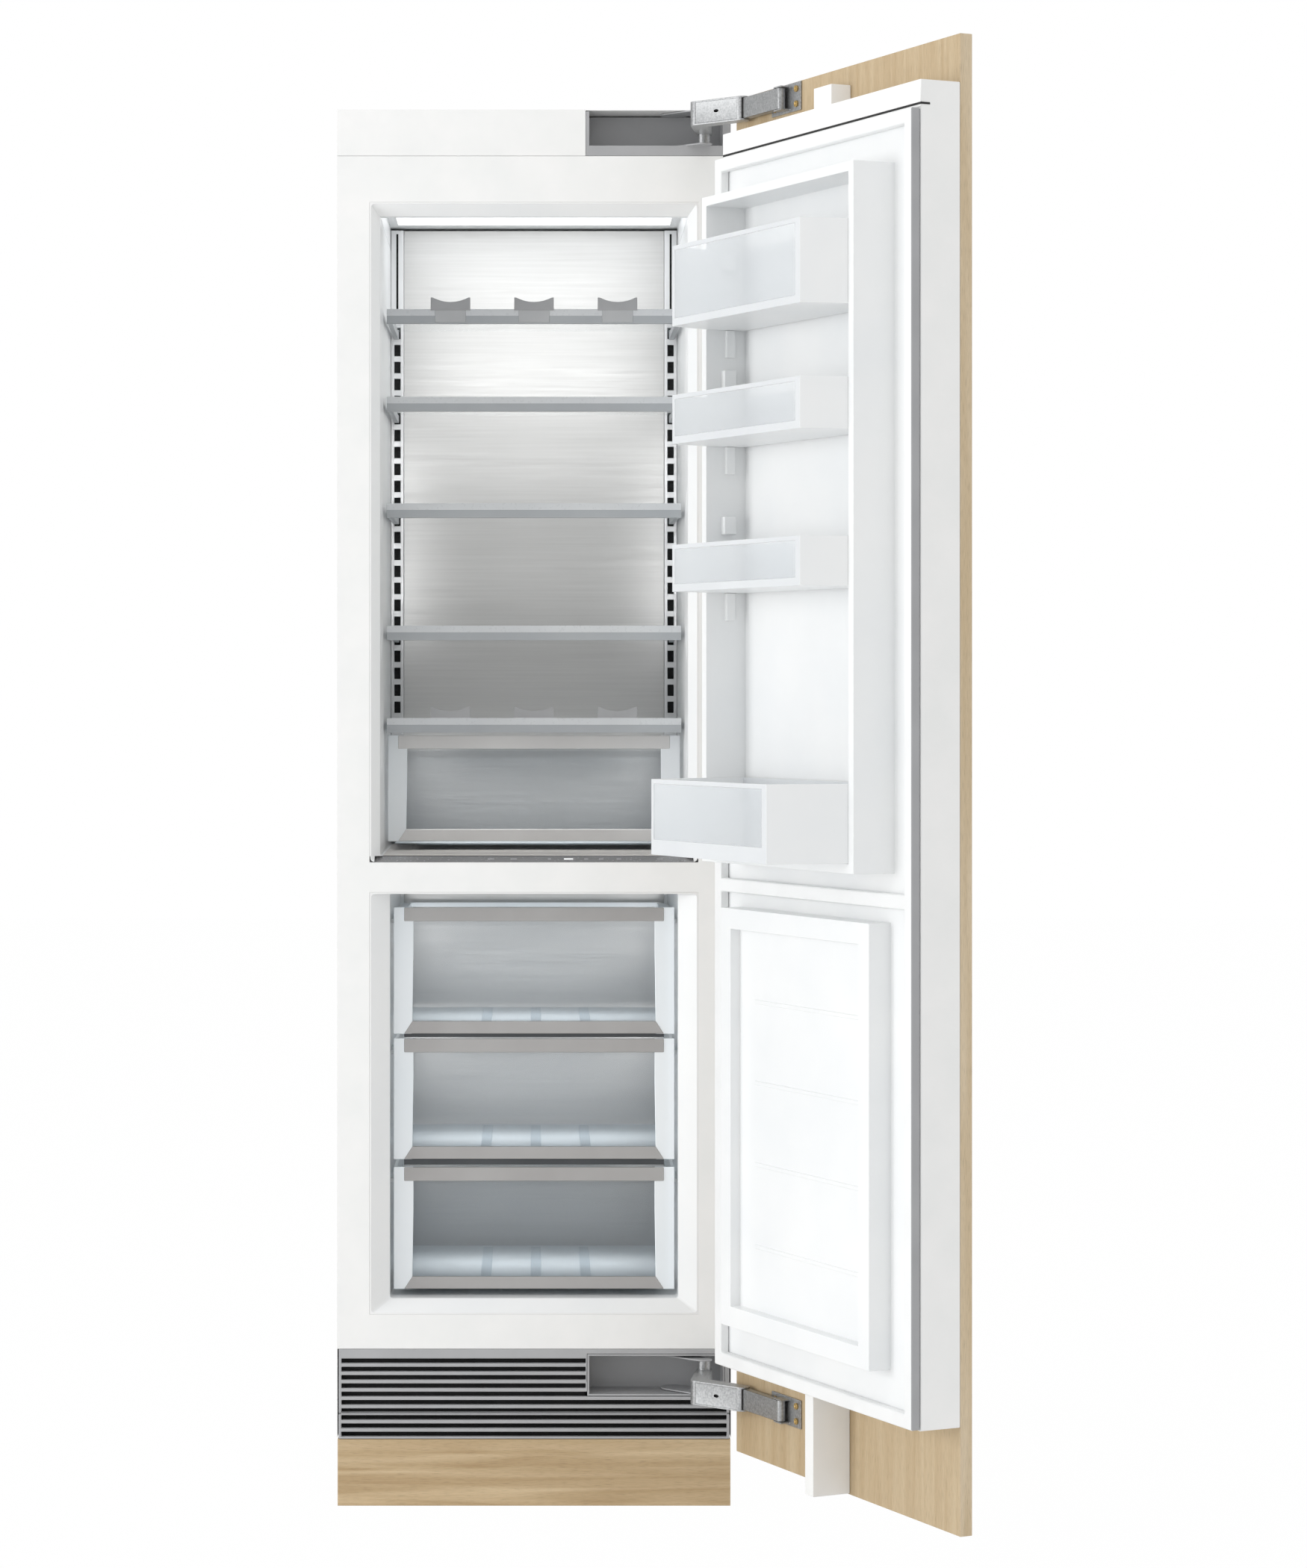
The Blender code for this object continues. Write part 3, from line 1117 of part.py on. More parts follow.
def between(middle, first, second):
    """Height span between two distances from a middle height."""
    return (middle + min(first, second), middle + max(first, second))


def hinge(place, where, middle, outward, box):
    """One hinge: a box in the cabinet, a cranked arm, a link and a bracket on the door panel.

    Outward is 1 where the near end of the cabinet is above the hinge and -1 where it is below.
    """
    pivot = where["arm_pivot"]
    hinge_box(place, pivot, middle, outward, box)

    axis = AXES["arm"]
    half = ARM_HEIGHT / 2
    tip = (pivot.x + ARM_LENGTH, pivot.y)
    knee = (pivot.x + KNEE_ALONG, pivot.y - KNEE_ACROSS)
    way = heading(knee, tip)
    end = placed(tip, way, [(0, (ELBOW_INNER - ELBOW_OUTER) / 2)])[0]
    radii = (ARM_HEEL, KNEE_RADIUS, (ELBOW_INNER + ELBOW_OUTER) / 2)
    arm = slab(f"hinge_arm_{place}", cranked_bar(pivot, knee, end, radii),
               (middle - half, middle + half), "zinc", axis)
    hub = between(middle, outward * (OVERRUN - half), outward * (GAP - FAR_LUG))
    web = ARM_WEB - ELBOW_OUTER
    room = placed(tip, way, [(-ELBOW_NOTCH, web), (ARM_HEIGHT, web),
                             (ARM_HEIGHT, ARM_HEIGHT), (-ELBOW_NOTCH, ARM_HEIGHT)])
    fuse(arm, rod("arm_hub", (pivot.x, pivot.y, sum(hub) / 2), ARM_HUB, hub[1] - hub[0], "Z",
                  None, axis, PIN_SIDES))
    cut(arm,
        rod("arm_bore", (pivot.x, pivot.y, middle), PIVOT_PIN + PIN_PLAY, ARM_HEIGHT * 2, "Z",
            None, axis, PIN_SIDES),
        slab("link_room", room, (middle - LINK_HALF - GAP, middle + LINK_HALF + GAP), None, axis))

    axis = AXES["link"]
    near = where["link_pivot"]
    far = (near.x + LINK_LENGTH, near.y)
    span = (middle - LINK_HALF, middle + LINK_HALF)
    link = slab(f"hinge_link_{place}", bar(near, far, LINK_END_RADIUS, LINK_END_RADIUS),
                span, "zinc", axis)
    cut(link, rod("link_bore", (near.x, near.y, middle), LINK_PIN + PIN_PLAY, ARM_HEIGHT, "Z",
                  None, axis, PIN_SIDES))
    hinge_bracket(place, near, span)


def hinge_box(place, pivot, middle, outward, box):
    """Sheet box let into the front, with two lug plates and the pin that the arm turns on."""
    (x, z), (room_x, room_z) = box
    y = (GAP, POCKET_DEPTH + BOX_WALL)
    housing = block(f"hinge_box_{place}", x, y, z, "gray_plastic")
    room = block("pocket_room", room_x, (-OVERRUN, POCKET_DEPTH), room_z)
    cut(housing, room)
    near = outward * (ARM_HEIGHT / 2 + GAP)
    far = outward * FAR_LUG
    plates = [between(middle, near, near + outward * LUG_PLATE),
              between(middle, -far, -far - outward * LUG_PLATE)]
    root = (LUG_ROOT_X, POCKET_DEPTH + BOX_WALL / 2 - LUG_ROOT)
    lugs = [slab("pivot_lug", bar(pivot, root, ARM_HEEL, LUG_ROOT), span) for span in plates]
    pin_span = between(middle, near + outward * LUG_PLATE / 2, -far - outward * LUG_PLATE / 2)
    pin = rod("pivot_pin", (pivot.x, pivot.y, sum(pin_span) / 2), PIVOT_PIN,
              pin_span[1] - pin_span[0], "Z", sides=PIN_SIDES)
    fuse(housing, *lugs, pin)


def hinge_bracket(place, near, link):
    """Plate screwed to the back of the oak panel, with two ears that hold the link's pin."""
    door = AXES["door"]
    low, high = link
    plate = block(f"hinge_bracket_{place}",
                  (PANEL_HINGE_EDGE - BRACKET_FAR, PANEL_HINGE_EDGE - BRACKET_NEAR),
                  (PANEL_FACE + GAP, PANEL_FACE + GAP + BRACKET_PLATE),
                  ((low + high) / 2 - BRACKET_HALF, (low + high) / 2 + BRACKET_HALF), "zinc", door)
    foot = (near.x, PANEL_FACE + GAP + BRACKET_PLATE / 2)
    spans = [(low - GAP - LUG_PLATE, low - GAP), (high + GAP, high + GAP + LUG_PLATE)]
    ears = [block("ear", (foot[0] - BRACKET_EAR, foot[0] + BRACKET_EAR),
                  (foot[1], near.y + LINK_END_RADIUS), span, None, door) for span in spans]
    pin = rod("link_pin", (near.x, near.y, (low + high) / 2), LINK_PIN,
              high - low + LUG_PLATE, "Z", None, door, PIN_SIDES)
    fuse(plate, *ears, pin)


def hinges():
    """The upper and the lower hinge, alike but for their boxes."""
    where = PLACES
    high = TOP_ARM_MIDDLE + ARM_HEIGHT / 2
    top_room = (TOP_BOX_FLOOR, CABINET_HEIGHT)
    top = (((TOP_BOX_LEFT, INSIDE_HALF), (FASCIA_LOW + GAP, high + GAP + LUG_PLATE / 2)),
           ((POCKET_LEFT, POCKET_RIGHT), top_room))
    bottom = (((POCKET_LEFT - BOX_WALL, POCKET_RIGHT + BOX_WALL),
               (BOTTOM_BOX_LOW, BOTTOM_BOX_HIGH)),
              ((POCKET_LEFT, POCKET_RIGHT),
               (BOTTOM_BOX_LOW + BOX_WALL, BOTTOM_BOX_HIGH - BOX_WALL)))
    hinge("top", where, TOP_ARM_MIDDLE, 1, top)
    hinge("bottom", where, BOTTOM_ARM_MIDDLE, -1, bottom)


def door():
    """Oak overlay panel, foam-filled door with its liner and gasket, and four bins."""
    axis = AXES["door"]
    block("oak_panel", (PANEL_HINGE_EDGE - PANEL_WIDTH, PANEL_HINGE_EDGE),
          (PANEL_FACE - PANEL_THICK, PANEL_FACE), (KICK_HEIGHT + GAP, CABINET_HEIGHT), "oak", axis)
    x = (DOOR_FREE_EDGE, DOOR_HINGE_EDGE)
    y = (PANEL_FACE + GAP, DOOR_INNER)
    shell = block("door_shell", x, y, (DOOR_LOW, DOOR_HIGH), "white_steel", axis)
    inside_x = (x[0] + DOOR_SHEET, x[1] - DOOR_SHEET)
    inside_z = (DOOR_LOW + DOOR_SHEET, CAP_LOW)
    room = block("door_room", inside_x, (y[0] + DOOR_SHEET, y[1] + OVERRUN), inside_z, None, axis)
    half = BOTTOM_POST_WIDTH / 2
    bottom_post = block("bottom_post", (BOTTOM_POST_X - half, BOTTOM_POST_X + half),
                        (y[0], y[0] + BOTTOM_POST_DEPTH),
                        (BOTTOM_POST_LOW, DOOR_LOW + DOOR_SHEET / 2), None, axis)
    half = TOP_POST_WIDTH / 2
    top_post = block("top_post", (TOP_POST_X - half, TOP_POST_X + half),
                     (y[0], y[0] + TOP_POST_DEPTH), (DOOR_HIGH - DOOR_SHEET, TOP_POST_HIGH),
                     None, axis)
    cut(shell, room)
    fuse(shell, bottom_post, top_post)
    flange_x = (inside_x[0] + GAP, inside_x[1] - GAP)
    flange_z = (inside_z[0] + GAP, inside_z[1] - GAP)
    flange_back = DOOR_INNER - LINER_WALL
    block("door_foam", flange_x, (y[0] + DOOR_SHEET + GAP, flange_back - GAP), flange_z,
          "foam", axis)
    door_liner(axis, flange_x, (flange_back, DOOR_INNER), flange_z)
    gasket(axis)
    bins(axis)


def door_liner(axis, x, y, z):
    """Moulded liner: a flange, a deep dike that holds the bins and a shallow lower plug."""
    liner = block("door_liner", x, y, z, "liner", axis)
    root = y[0] + LINER_WALL / 2
    rim = DOOR_INNER + DIKE_HEIGHT
    dike = block("dike", (DIKE_FREE, DIKE_HINGE), (root, rim), (DIKE_LOW, DIKE_HIGH), None, axis)
    dike_room = block("dike_room", (DIKE_FREE + DIKE_WALL, DIKE_HINGE - DIKE_WALL),
                      (DOOR_INNER, rim + OVERRUN),
                      (DIKE_LOW + DIKE_WALL, DIKE_HIGH - DIKE_WALL), None, axis)
    plug_face = DOOR_INNER + PLUG_HEIGHT
    plug = block("plug", (PLUG_FREE, PLUG_HINGE), (root, plug_face), (PLUG_LOW, PLUG_HIGH),
                 None, axis)
    recess = block("plug_recess", (PLUG_FREE + PLUG_RIM, PLUG_HINGE - PLUG_RIM),
                   (plug_face - PLUG_RECESS, plug_face + OVERRUN),
                   (PLUG_LOW + PLUG_RIM, PLUG_HIGH - PLUG_RIM), None, axis)
    lug_y = (DOOR_INNER + LUG_SET_BACK, DOOR_INNER + LUG_SET_BACK + LUG_DEPTH)
    lug_x = ((DIKE_FREE + DIKE_WALL / 2, DIKE_FREE + DIKE_WALL + LUG_REACH),
             (DIKE_HINGE - DIKE_WALL - LUG_REACH, DIKE_HINGE - DIKE_WALL / 2))
    lugs = [(side, lug_y, (low - GAP - LUG_HEIGHT, low - GAP))
            for low, high in BINS for side in lug_x]
    fuse(liner, dike, plug)
    cut(liner, dike_room, recess)
    fuse(liner, blocks("bin_lugs", lugs, None, axis))


def gasket(axis):
    """Magnetic gasket: a rubber frame with a bar that seals on the mullion."""
    x = (DOOR_FREE_EDGE + GASKET_INSET, DOOR_HINGE_EDGE - GASKET_INSET)
    z = (DOOR_LOW + DOOR_SHEET, CAP_LOW - DOOR_SHEET)
    y = (DOOR_INNER + GAP, DOOR_INNER + GAP + GASKET_THICK)
    seal = block("door_gasket", x, y, z, "gasket", axis)
    hole_x = (x[0] + GASKET_WIDTH, x[1] - GASKET_WIDTH)
    hole_y = (y[0] - OVERRUN, y[1] + OVERRUN)
    half = GASKET_WIDTH / 2
    spans = ((z[0] + GASKET_WIDTH, GASKET_MIDDLE - half), (GASKET_MIDDLE + half, z[1] - GASKET_WIDTH))
    cut(seal, *[block("seal_hole", hole_x, hole_y, span, None, axis) for span in spans])


def bins(axis):
    """Three shallow bins on lugs and a deep bottom bin, wide in the dike and tapered in front."""
    back = DOOR_INNER + BIN_BACK
    shoulder = DOOR_INNER + DIKE_HEIGHT
    x = (DIKE_FREE + DIKE_WALL + BIN_CLEARANCE, DIKE_HINGE - DIKE_WALL - BIN_CLEARANCE)
    plans = [(low, high, BIN_FREE_TAPER, BIN_HINGE_TAPER, BIN_REACH) for low, high in BINS]
    plans.append((DIKE_LOW + DIKE_WALL + GAP, DEEP_BIN_HIGH,
                  DEEP_BIN_FREE_TAPER, DEEP_BIN_HINGE_TAPER, DEEP_BIN_REACH))
    for count, (low, high, free_taper, hinge_taper, reach) in enumerate(plans):
        def plan(wall):
            return [(x[0] + wall, back + wall), (x[1] - wall, back + wall),
                    (x[1] - wall, shoulder), (x[1] - hinge_taper - wall, shoulder + reach - wall),
                    (x[0] + free_taper + wall, shoulder + reach - wall), (x[0] + wall, shoulder)]
        tray = slab(f"door_bin_{count + 1}", plan(0), (low, high), "clear", axis)
        cut(tray, slab("bin_room", plan(BIN_WALL), (low + BIN_WALL, high + OVERRUN), None, axis))


for old in list(bpy.data.objects):
    bpy.data.objects.remove(old, do_unlink=True)
MODEL = new_collection("column_refrigerator")
CUTTERS = new_collection("cutters")
PLACES = hinge_places()
AXES = {"door": empty("door_axis", PLACES["swing"], DOOR_OPEN)}
AXES["arm"] = empty("arm_axis", PLACES["arm_pivot"], PLACES["arm_open"])
AXES["link"] = empty("link_axis", PLACES["link_pivot"], PLACES["link_open"], AXES["door"])
casing()
insulation()
liners()
control_strip()
rear_wall()
lamps()
shelves()
drawers()
grilles()
base()
machine()
door()
hinges()
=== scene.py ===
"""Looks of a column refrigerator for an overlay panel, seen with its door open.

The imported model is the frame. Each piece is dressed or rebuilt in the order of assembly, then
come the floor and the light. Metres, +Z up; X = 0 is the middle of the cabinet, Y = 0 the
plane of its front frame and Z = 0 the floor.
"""
import math

import bpy
from mathutils import Matrix, Vector
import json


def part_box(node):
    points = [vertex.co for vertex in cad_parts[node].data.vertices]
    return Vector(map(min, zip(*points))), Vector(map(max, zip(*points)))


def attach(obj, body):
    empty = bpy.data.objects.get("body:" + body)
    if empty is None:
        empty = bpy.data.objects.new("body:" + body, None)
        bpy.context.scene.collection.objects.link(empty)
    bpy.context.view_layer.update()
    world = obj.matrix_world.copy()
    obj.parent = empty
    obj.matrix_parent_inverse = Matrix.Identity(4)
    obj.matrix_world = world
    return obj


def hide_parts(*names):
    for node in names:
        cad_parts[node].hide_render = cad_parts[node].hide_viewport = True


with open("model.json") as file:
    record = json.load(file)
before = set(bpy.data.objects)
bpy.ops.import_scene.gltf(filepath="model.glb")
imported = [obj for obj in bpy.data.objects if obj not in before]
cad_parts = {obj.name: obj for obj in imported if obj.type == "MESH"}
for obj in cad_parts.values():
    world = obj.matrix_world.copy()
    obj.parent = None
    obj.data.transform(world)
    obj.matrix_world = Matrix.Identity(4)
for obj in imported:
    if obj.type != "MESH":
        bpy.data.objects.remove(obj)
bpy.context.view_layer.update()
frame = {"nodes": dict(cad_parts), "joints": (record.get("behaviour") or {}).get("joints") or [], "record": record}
nodes = frame["nodes"]

# Camera
# A long lens, level and straight in front of the cabinet, 1.25 m up. The shift frames the
# picture as the photograph does.
lens = bpy.data.cameras.new("camera")
lens.sensor_fit = "VERTICAL"
lens.sensor_height = 36
lens.lens = 87.497
lens.shift_x = 0.07619
lens.shift_y = -0.06
lens.clip_end = 60
camera = bpy.data.objects.new("camera", lens)
camera.location = (0, -5.827, 1.2466)
camera.rotation_euler = (math.radians(90), 0, 0)
bpy.context.scene.collection.objects.link(camera)
bpy.context.scene.camera = camera


# Casing and base pan
# The casing is steel sheet folded into a box and powder coated white, its back stiffened by a
# pressed panel; the base pan under it is galvanised sheet. Their edges have the small round of
# a fold.
def linear(code):
    """Linear RGBA of an sRGB hex colour."""
    parts = [int(code[place:place + 2], 16) / 255 for place in (1, 3, 5)]
    return [value / 12.92 if value <= 0.04045 else ((value + 0.055) / 1.055) ** 2.4
            for value in parts] + [1]


def add_node(material, kind, inputs, **settings):
    """One node with its settings; inputs maps a socket to a value or to another node's output."""
    node = material.node_tree.nodes.new(kind)
    for name, value in settings.items():
        setattr(node, name, value)
    for socket, value in inputs.items():
        if isinstance(value, bpy.types.NodeSocket):
            material.node_tree.links.new(value, node.inputs[socket])
        else:
            node.inputs[socket].default_value = value
    return node


def plain_finish(name, **constants):
    """A material with its constants on the shader's own sockets; an underscore is a space."""
    material = bpy.data.materials.new(name)
    material.use_nodes = True
    shader = material.node_tree.nodes["Principled BSDF"]
    for socket, value in constants.items():
        shader.inputs[socket.replace("_", " ")].default_value = value
    return material, shader


def finish(name, tones, gloss, grain, depth, stretch=(1, 1, 1), drift=24, **constants):
    """A material whose colour and gloss drift between two values over a fine relief.

    The grain is the relief's spacing and the depth its height, in metres, and the drift is how
    many grains wide a cloud of colour is. The stretch draws the pattern out along an axis, as
    brushing or rolling does. The constants are the shader's, as in plain_finish.
    """
    material, shader = plain_finish(name, **constants)
    place = add_node(material, "ShaderNodeTexCoord", {}).outputs["Object"]
    drawn = add_node(material, "ShaderNodeMapping", {"Vector": place,
                                                     "Scale": [1 / part for part in stretch]})
    waves = add_node(material, "ShaderNodeTexNoise", {
        "Vector": drawn.outputs["Vector"], "Scale": 1 / grain, "Detail": 1})
    clouds = add_node(material, "ShaderNodeTexNoise", {
        "Vector": drawn.outputs["Vector"], "Scale": 1 / (grain * drift), "Detail": 3})
    even = add_node(material, "ShaderNodeMapRange", {
        0: clouds.outputs[0], 1: 0.3, 2: 0.7, 3: 0.0, 4: 1.0})
    tone = add_node(material, "ShaderNodeMix", {
        0: even.outputs[0], 6: linear(tones[0]), 7: linear(tones[1])}, data_type="RGBA")
    rough = add_node(material, "ShaderNodeMapRange", {
        0: waves.outputs[0], 1: 0.3, 2: 0.7, 3: gloss[0], 4: gloss[1]})
    bump = add_node(material, "ShaderNodeBump", {"Height": waves.outputs[0], "Distance": depth})
    links = material.node_tree.links
    links.new(tone.outputs[2], shader.inputs["Base Color"])
    links.new(rough.outputs[0], shader.inputs["Roughness"])
    links.new(bump.outputs[0], shader.inputs["Normal"])
    return material


def select_only(piece):
    """Makes the piece the only one selected, and the active one."""
    bpy.ops.object.select_all(action="DESELECT")
    piece.select_set(True)
    bpy.context.view_layer.objects.active = piece


def press(piece, border, wall, depth):
    """Presses the selected faces in by the depth, inside a border and a sloped wall."""
    select_only(piece)
    bpy.ops.object.mode_set(mode="EDIT")
    bpy.ops.mesh.select_mode(type="FACE")
    bpy.ops.mesh.inset(thickness=border)
    bpy.ops.mesh.inset(thickness=wall, depth=-depth)
    bpy.ops.object.mode_set(mode="OBJECT")


def round_edges(piece, width, segments=2):
    """Rounds the sharp edges, as folding, moulding or sanding leaves them, and smooths."""
    select_only(piece)
    bevel = piece.modifiers.new("edges", "BEVEL")
    bevel.width = width
    bevel.segments = segments
    bevel.angle_limit = math.radians(30)
    bevel.use_clamp_overlap = False
    bpy.ops.object.modifier_apply(modifier=bevel.name)
    bpy.ops.object.shade_smooth_by_angle(angle=math.radians(40))
    flats = piece.modifiers.new("flats", "WEIGHTED_NORMAL")
    flats.keep_sharp = True
    bpy.ops.object.modifier_apply(modifier=flats.name)


slot_of = {piece["node"]: piece["material_slot"] for piece in frame["record"]["subparts"]}
body_of = {node: body for body, members in frame["record"]["behaviour"]["bodies"].items()
           for node in members}


def fit(piece, material, body, slot, *stands_for):
    """Gives a finished piece its material and body, and hides the nodes it stands for; the slot is not used."""
    piece.data.materials.clear()
    piece.data.materials.append(material)
    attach(piece, body)
    if stands_for:
        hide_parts(*stands_for)
    return piece


def form_of(node):
    """A copy of a node's form in whole faces, ready to be worked on."""
    piece = bpy.data.objects.new(node + "_form", nodes[node].data.copy())
    piece.data.name = node + "_form"
    bpy.context.scene.collection.objects.link(piece)
    select_only(piece)
    bpy.ops.mesh.customdata_custom_splitnormals_clear()
    bpy.ops.object.mode_set(mode="EDIT")
    bpy.ops.mesh.select_all(action="SELECT")
    bpy.ops.mesh.remove_doubles(threshold=0.00001)
    bpy.ops.mesh.tris_convert_to_quads(face_threshold=math.radians(0.5),
                                       shape_threshold=math.pi)
    bpy.ops.object.mode_set(mode="OBJECT")
    return piece


def dressed(node, width, material, segments=2):
    """The node's own form with edges rounded by the width, as the piece that stands for it."""
    piece = form_of(node)
    round_edges(piece, width, segments)
    return fit(piece, material, body_of[node], slot_of[node], node)


# Powder coat on steel: white, satin, with the faint orange peel of a baked powder. The peel's
# waves are 2 mm apart, drawn as 3 mm so that they show.
powder_white = finish("powder_coated_steel", ("#F4F4F3", "#EFF0EF"), (0.36, 0.46),
                      0.003, 0.00004, IOR=1.5)

# Galvanised sheet: dull gray with the slight cloudiness of its spangle, some 12 mm across.
galvanised = finish("galvanised_sheet", ("#A9ABAD", "#C2C4C5"), (0.42, 0.62),
                    0.012, 0.00002, Metallic=0.85)

casing = form_of("casing_wrapper")
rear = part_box("casing_wrapper")[1].y
for face in casing.data.polygons:
    face.select = face.normal.y > 0.9 and abs(face.center.y - rear) < 0.0005
press(casing, border=0.028, wall=0.004, depth=0.0008)
round_edges(casing, 0.0005)
fit(casing, powder_white, "cabinet", "white_steel", "casing_wrapper")
dressed("base_pan", 0.0006, galvanised)

# Foam
# Polyurethane foam, matt and pale yellow, is blown between casing and liners, and in the door.
# It is out of sight but for the seam round each opening, where a white tape held it back as it
# rose.
foam = finish("polyurethane_foam", ("#D9C989", "#E6D9A2"), (0.8, 0.95), 0.002, 0.0004, IOR=1.45)
seam_tape = finish("white_sealing_tape", ("#F2F2F2", "#EDEDED"), (0.5, 0.6), 0.004, 0.00001,
                   IOR=1.5)


def coat(node, material):
    """Gives a node that keeps the model's form its material."""
    for place in nodes[node].material_slots:
        place.material = material


coat("door_foam", foam)
tape_reach = 0.03
filling = form_of("foam_insulation")
round_edges(filling, 0.0004)
fit(filling, foam, "cabinet", "foam_yellow", "foam_insulation")
filling.data.materials.append(seam_tape)
for face in filling.data.polygons:
    if face.center.y < tape_reach:
        face.material_index = 1

# Front frame and fascia
# One steel plate frames both openings and a second closes the head beside the hinge pocket.
# Both are powder coated like the casing and screwed on from behind, so no screw shows.
dressed("front_frame", 0.0008, powder_white)
dressed("top_fascia", 0.0008, powder_white)

# Liners
# Each compartment is lined with one vacuum-formed tub of white polystyrene, with the soft
# edges that forming gives and a low sheen.
liner_white = finish("vacuum_formed_polystyrene", ("#F2F3F3", "#EDEFF0"), (0.30, 0.38),
                     0.006, 0.000006, IOR=1.55)
dressed("upper_liner", 0.0007, liner_white)
dressed("lower_liner", 0.0007, liner_white)


def block(name, low, high):
    """A box between two corners: the start of a piece."""
    bpy.ops.object.select_all(action="DESELECT")
    bpy.ops.mesh.primitive_cube_add(size=1, location=[(a + b) / 2 for a, b in zip(low, high)],
                                    scale=[b - a for a, b in zip(low, high)])
    piece = bpy.context.object
    piece.name = name
    piece.data.name = name
    bpy.ops.object.transform_apply(location=True, rotation=True, scale=True)
    return piece


def cut_out(piece, tool):
    """Takes the tool's form out of a piece, and the tool away."""
    select_only(piece)
    cut = piece.modifiers.new("cut", "BOOLEAN")
    cut.object = tool
    cut.operation = "DIFFERENCE"
    bpy.ops.object.modifier_apply(modifier=cut.name)
    bpy.data.objects.remove(tool)


def score(piece, point, normal, take_off=False):
    """Divides a piece's faces along a plane, and may take off the side its normal points to."""
    select_only(piece)
    bpy.ops.object.mode_set(mode="EDIT")
    bpy.ops.mesh.select_all(action="SELECT")
    bpy.ops.mesh.bisect(plane_co=point, plane_no=normal, use_fill=take_off,
                        clear_outer=take_off)
    bpy.ops.object.mode_set(mode="OBJECT")


# A white bead of sealant closes the seam between frame and liner; the control strip takes its
# place at the foot of the upper opening.
opening_half = 0.2512
bead_width = 0.0022
bead_near, bead_far = 0.0002, 0.0012
hollow_near, hollow_far = -0.02, 0.03
hollow_half = opening_half - bead_width
opening_corner = 0.006
strip_cover = 0.009
for name, foot, head in (("upper", 0.9831, 1.9922), ("lower", 0.2918, 0.9369)):
    bead = block(f"seam_bead_{name}", (-opening_half, bead_near, foot),
                 (opening_half, bead_far, head))
    hollow = block("hollow", (-hollow_half, hollow_near, foot + bead_width),
                   (hollow_half, hollow_far, head - bead_width))
    round_edges(hollow, opening_corner, 3)
    cut_out(bead, hollow)
    if name == "upper":
        score(bead, (0, 0, foot + strip_cover), (0, 0, -1), take_off=True)
    round_edges(bead, 0.0002)
    fit(bead, seam_tape, "cabinet", "liner_white")

# Steel back walls
# A brushed stainless sheet hides the coil room and lies between the shelf tracks, and a like
# sheet with a pressed panel lines the back of the lower compartment. The brushing runs across;
# its lines, 0.4 mm apart, are drawn as 1.5 mm so that they show.
brushed_steel = finish("brushed_stainless_steel", ("#BDBDBC", "#C3C3C2"), (0.42, 0.50),
                       0.0015, 0.000003, stretch=(60, 1, 1), drift=3, Metallic=1.0)
dressed("steel_back_wall", 0.0004, brushed_steel)

sheet_half = 0.215
sheet_thickness = 0.001
tray_clearance = 0.0185
foot_clearance, head_clearance = 0.026, 0.008
freezer_low, freezer_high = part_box("lower_liner")
sheet_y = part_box("drawer_1_tray")[1].y + tray_clearance
freezer_back = block("freezer_back_sheet", (-sheet_half, sheet_y, freezer_low.z + foot_clearance),
                     (sheet_half, sheet_y + sheet_thickness, freezer_high.z - head_clearance))
for face in freezer_back.data.polygons:
    face.select = face.normal.y < -0.9
press(freezer_back, border=0.012, wall=0.003, depth=0.0006)
round_edges(freezer_back, 0.0003)
fit(freezer_back, brushed_steel, "cabinet", "back_steel")

# Shelf tracks
# Two rolled channels of zinc plated steel, with a soft metallic sheen, carry the shelves on
# hooks. Behind their rounded slots a near-black strip is painted shade, for the unlit channel,
# and a thin near-black line on each, painted shadow of the corner, runs down to the top shelf.
track_steel = finish("zinc_plated_track", ("#C9CACB", "#D6D7D8"), (0.38, 0.5), 0.002, 0.00002,
                     stretch=(1, 1, 20), Metallic=0.7)
shade_black = finish("painted_shade_black", ("#0B0B0C", "#121213"), (0.7, 0.9), 0.003, 0.00005, IOR=1.45)
channel_half = 0.0075
channel_near, channel_far = 0.0062, 0.0074
channel_end = 0.02
shade_line_half = 0.0017
shade_line_proud, shade_line_depth = 0.0002, 0.0012
shade_line_foot = 1.853
shade_line_end = 0.006
for side in ("left", "right"):
    dressed("shelf_track_" + side, 0.0008, track_steel)
    low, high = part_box("shelf_track_" + side)
    middle = (low.x + high.x) / 2
    # A near-black strip behind the slots is painted shade, for the unlit channel.
    channel = block("track_channel_shade_" + side,
                    (middle - channel_half, low.y + channel_near, low.z + channel_end),
                    (middle + channel_half, low.y + channel_far, high.z - channel_end))
    round_edges(channel, 0.0003)
    fit(channel, shade_black, "cabinet", "zinc_sheet")
    # The thin near-black line is painted shadow, for the corner beside the back wall.
    shade_line = block("track_shade_line_" + side,
                   (middle - shade_line_half, low.y - shade_line_proud, shade_line_foot),
                   (middle + shade_line_half, low.y + shade_line_depth, high.z - shade_line_end))
    round_edges(shade_line, 0.0002)
    fit(shade_line, shade_black, "cabinet", "zinc_sheet")

# Lamps
# A flat diffuser fills the ceiling and four oval lenses in each side wall glow at the ends of
# two strips. They are moulded of opal acrylic over white diodes, smooth and softly bright.
opal_tones = ("#F7F7F7", "#F2F3F4")
opal_ceiling = finish("opal_acrylic_ceiling", opal_tones, (0.35, 0.45), 0.004, 0.00002,
                      Emission_Color=linear("#FBFCFF"), Emission_Strength=1.2)
opal_side = finish("opal_acrylic_lens", opal_tones, (0.35, 0.45), 0.004, 0.00002,
                   Emission_Color=linear("#FFFFFF"), Emission_Strength=1.6)
dressed("ceiling_light", 0.001, opal_ceiling)
dressed("side_lights_left", 0.0015, opal_side, 3)
dressed("side_lights_right", 0.0015, opal_side, 3)

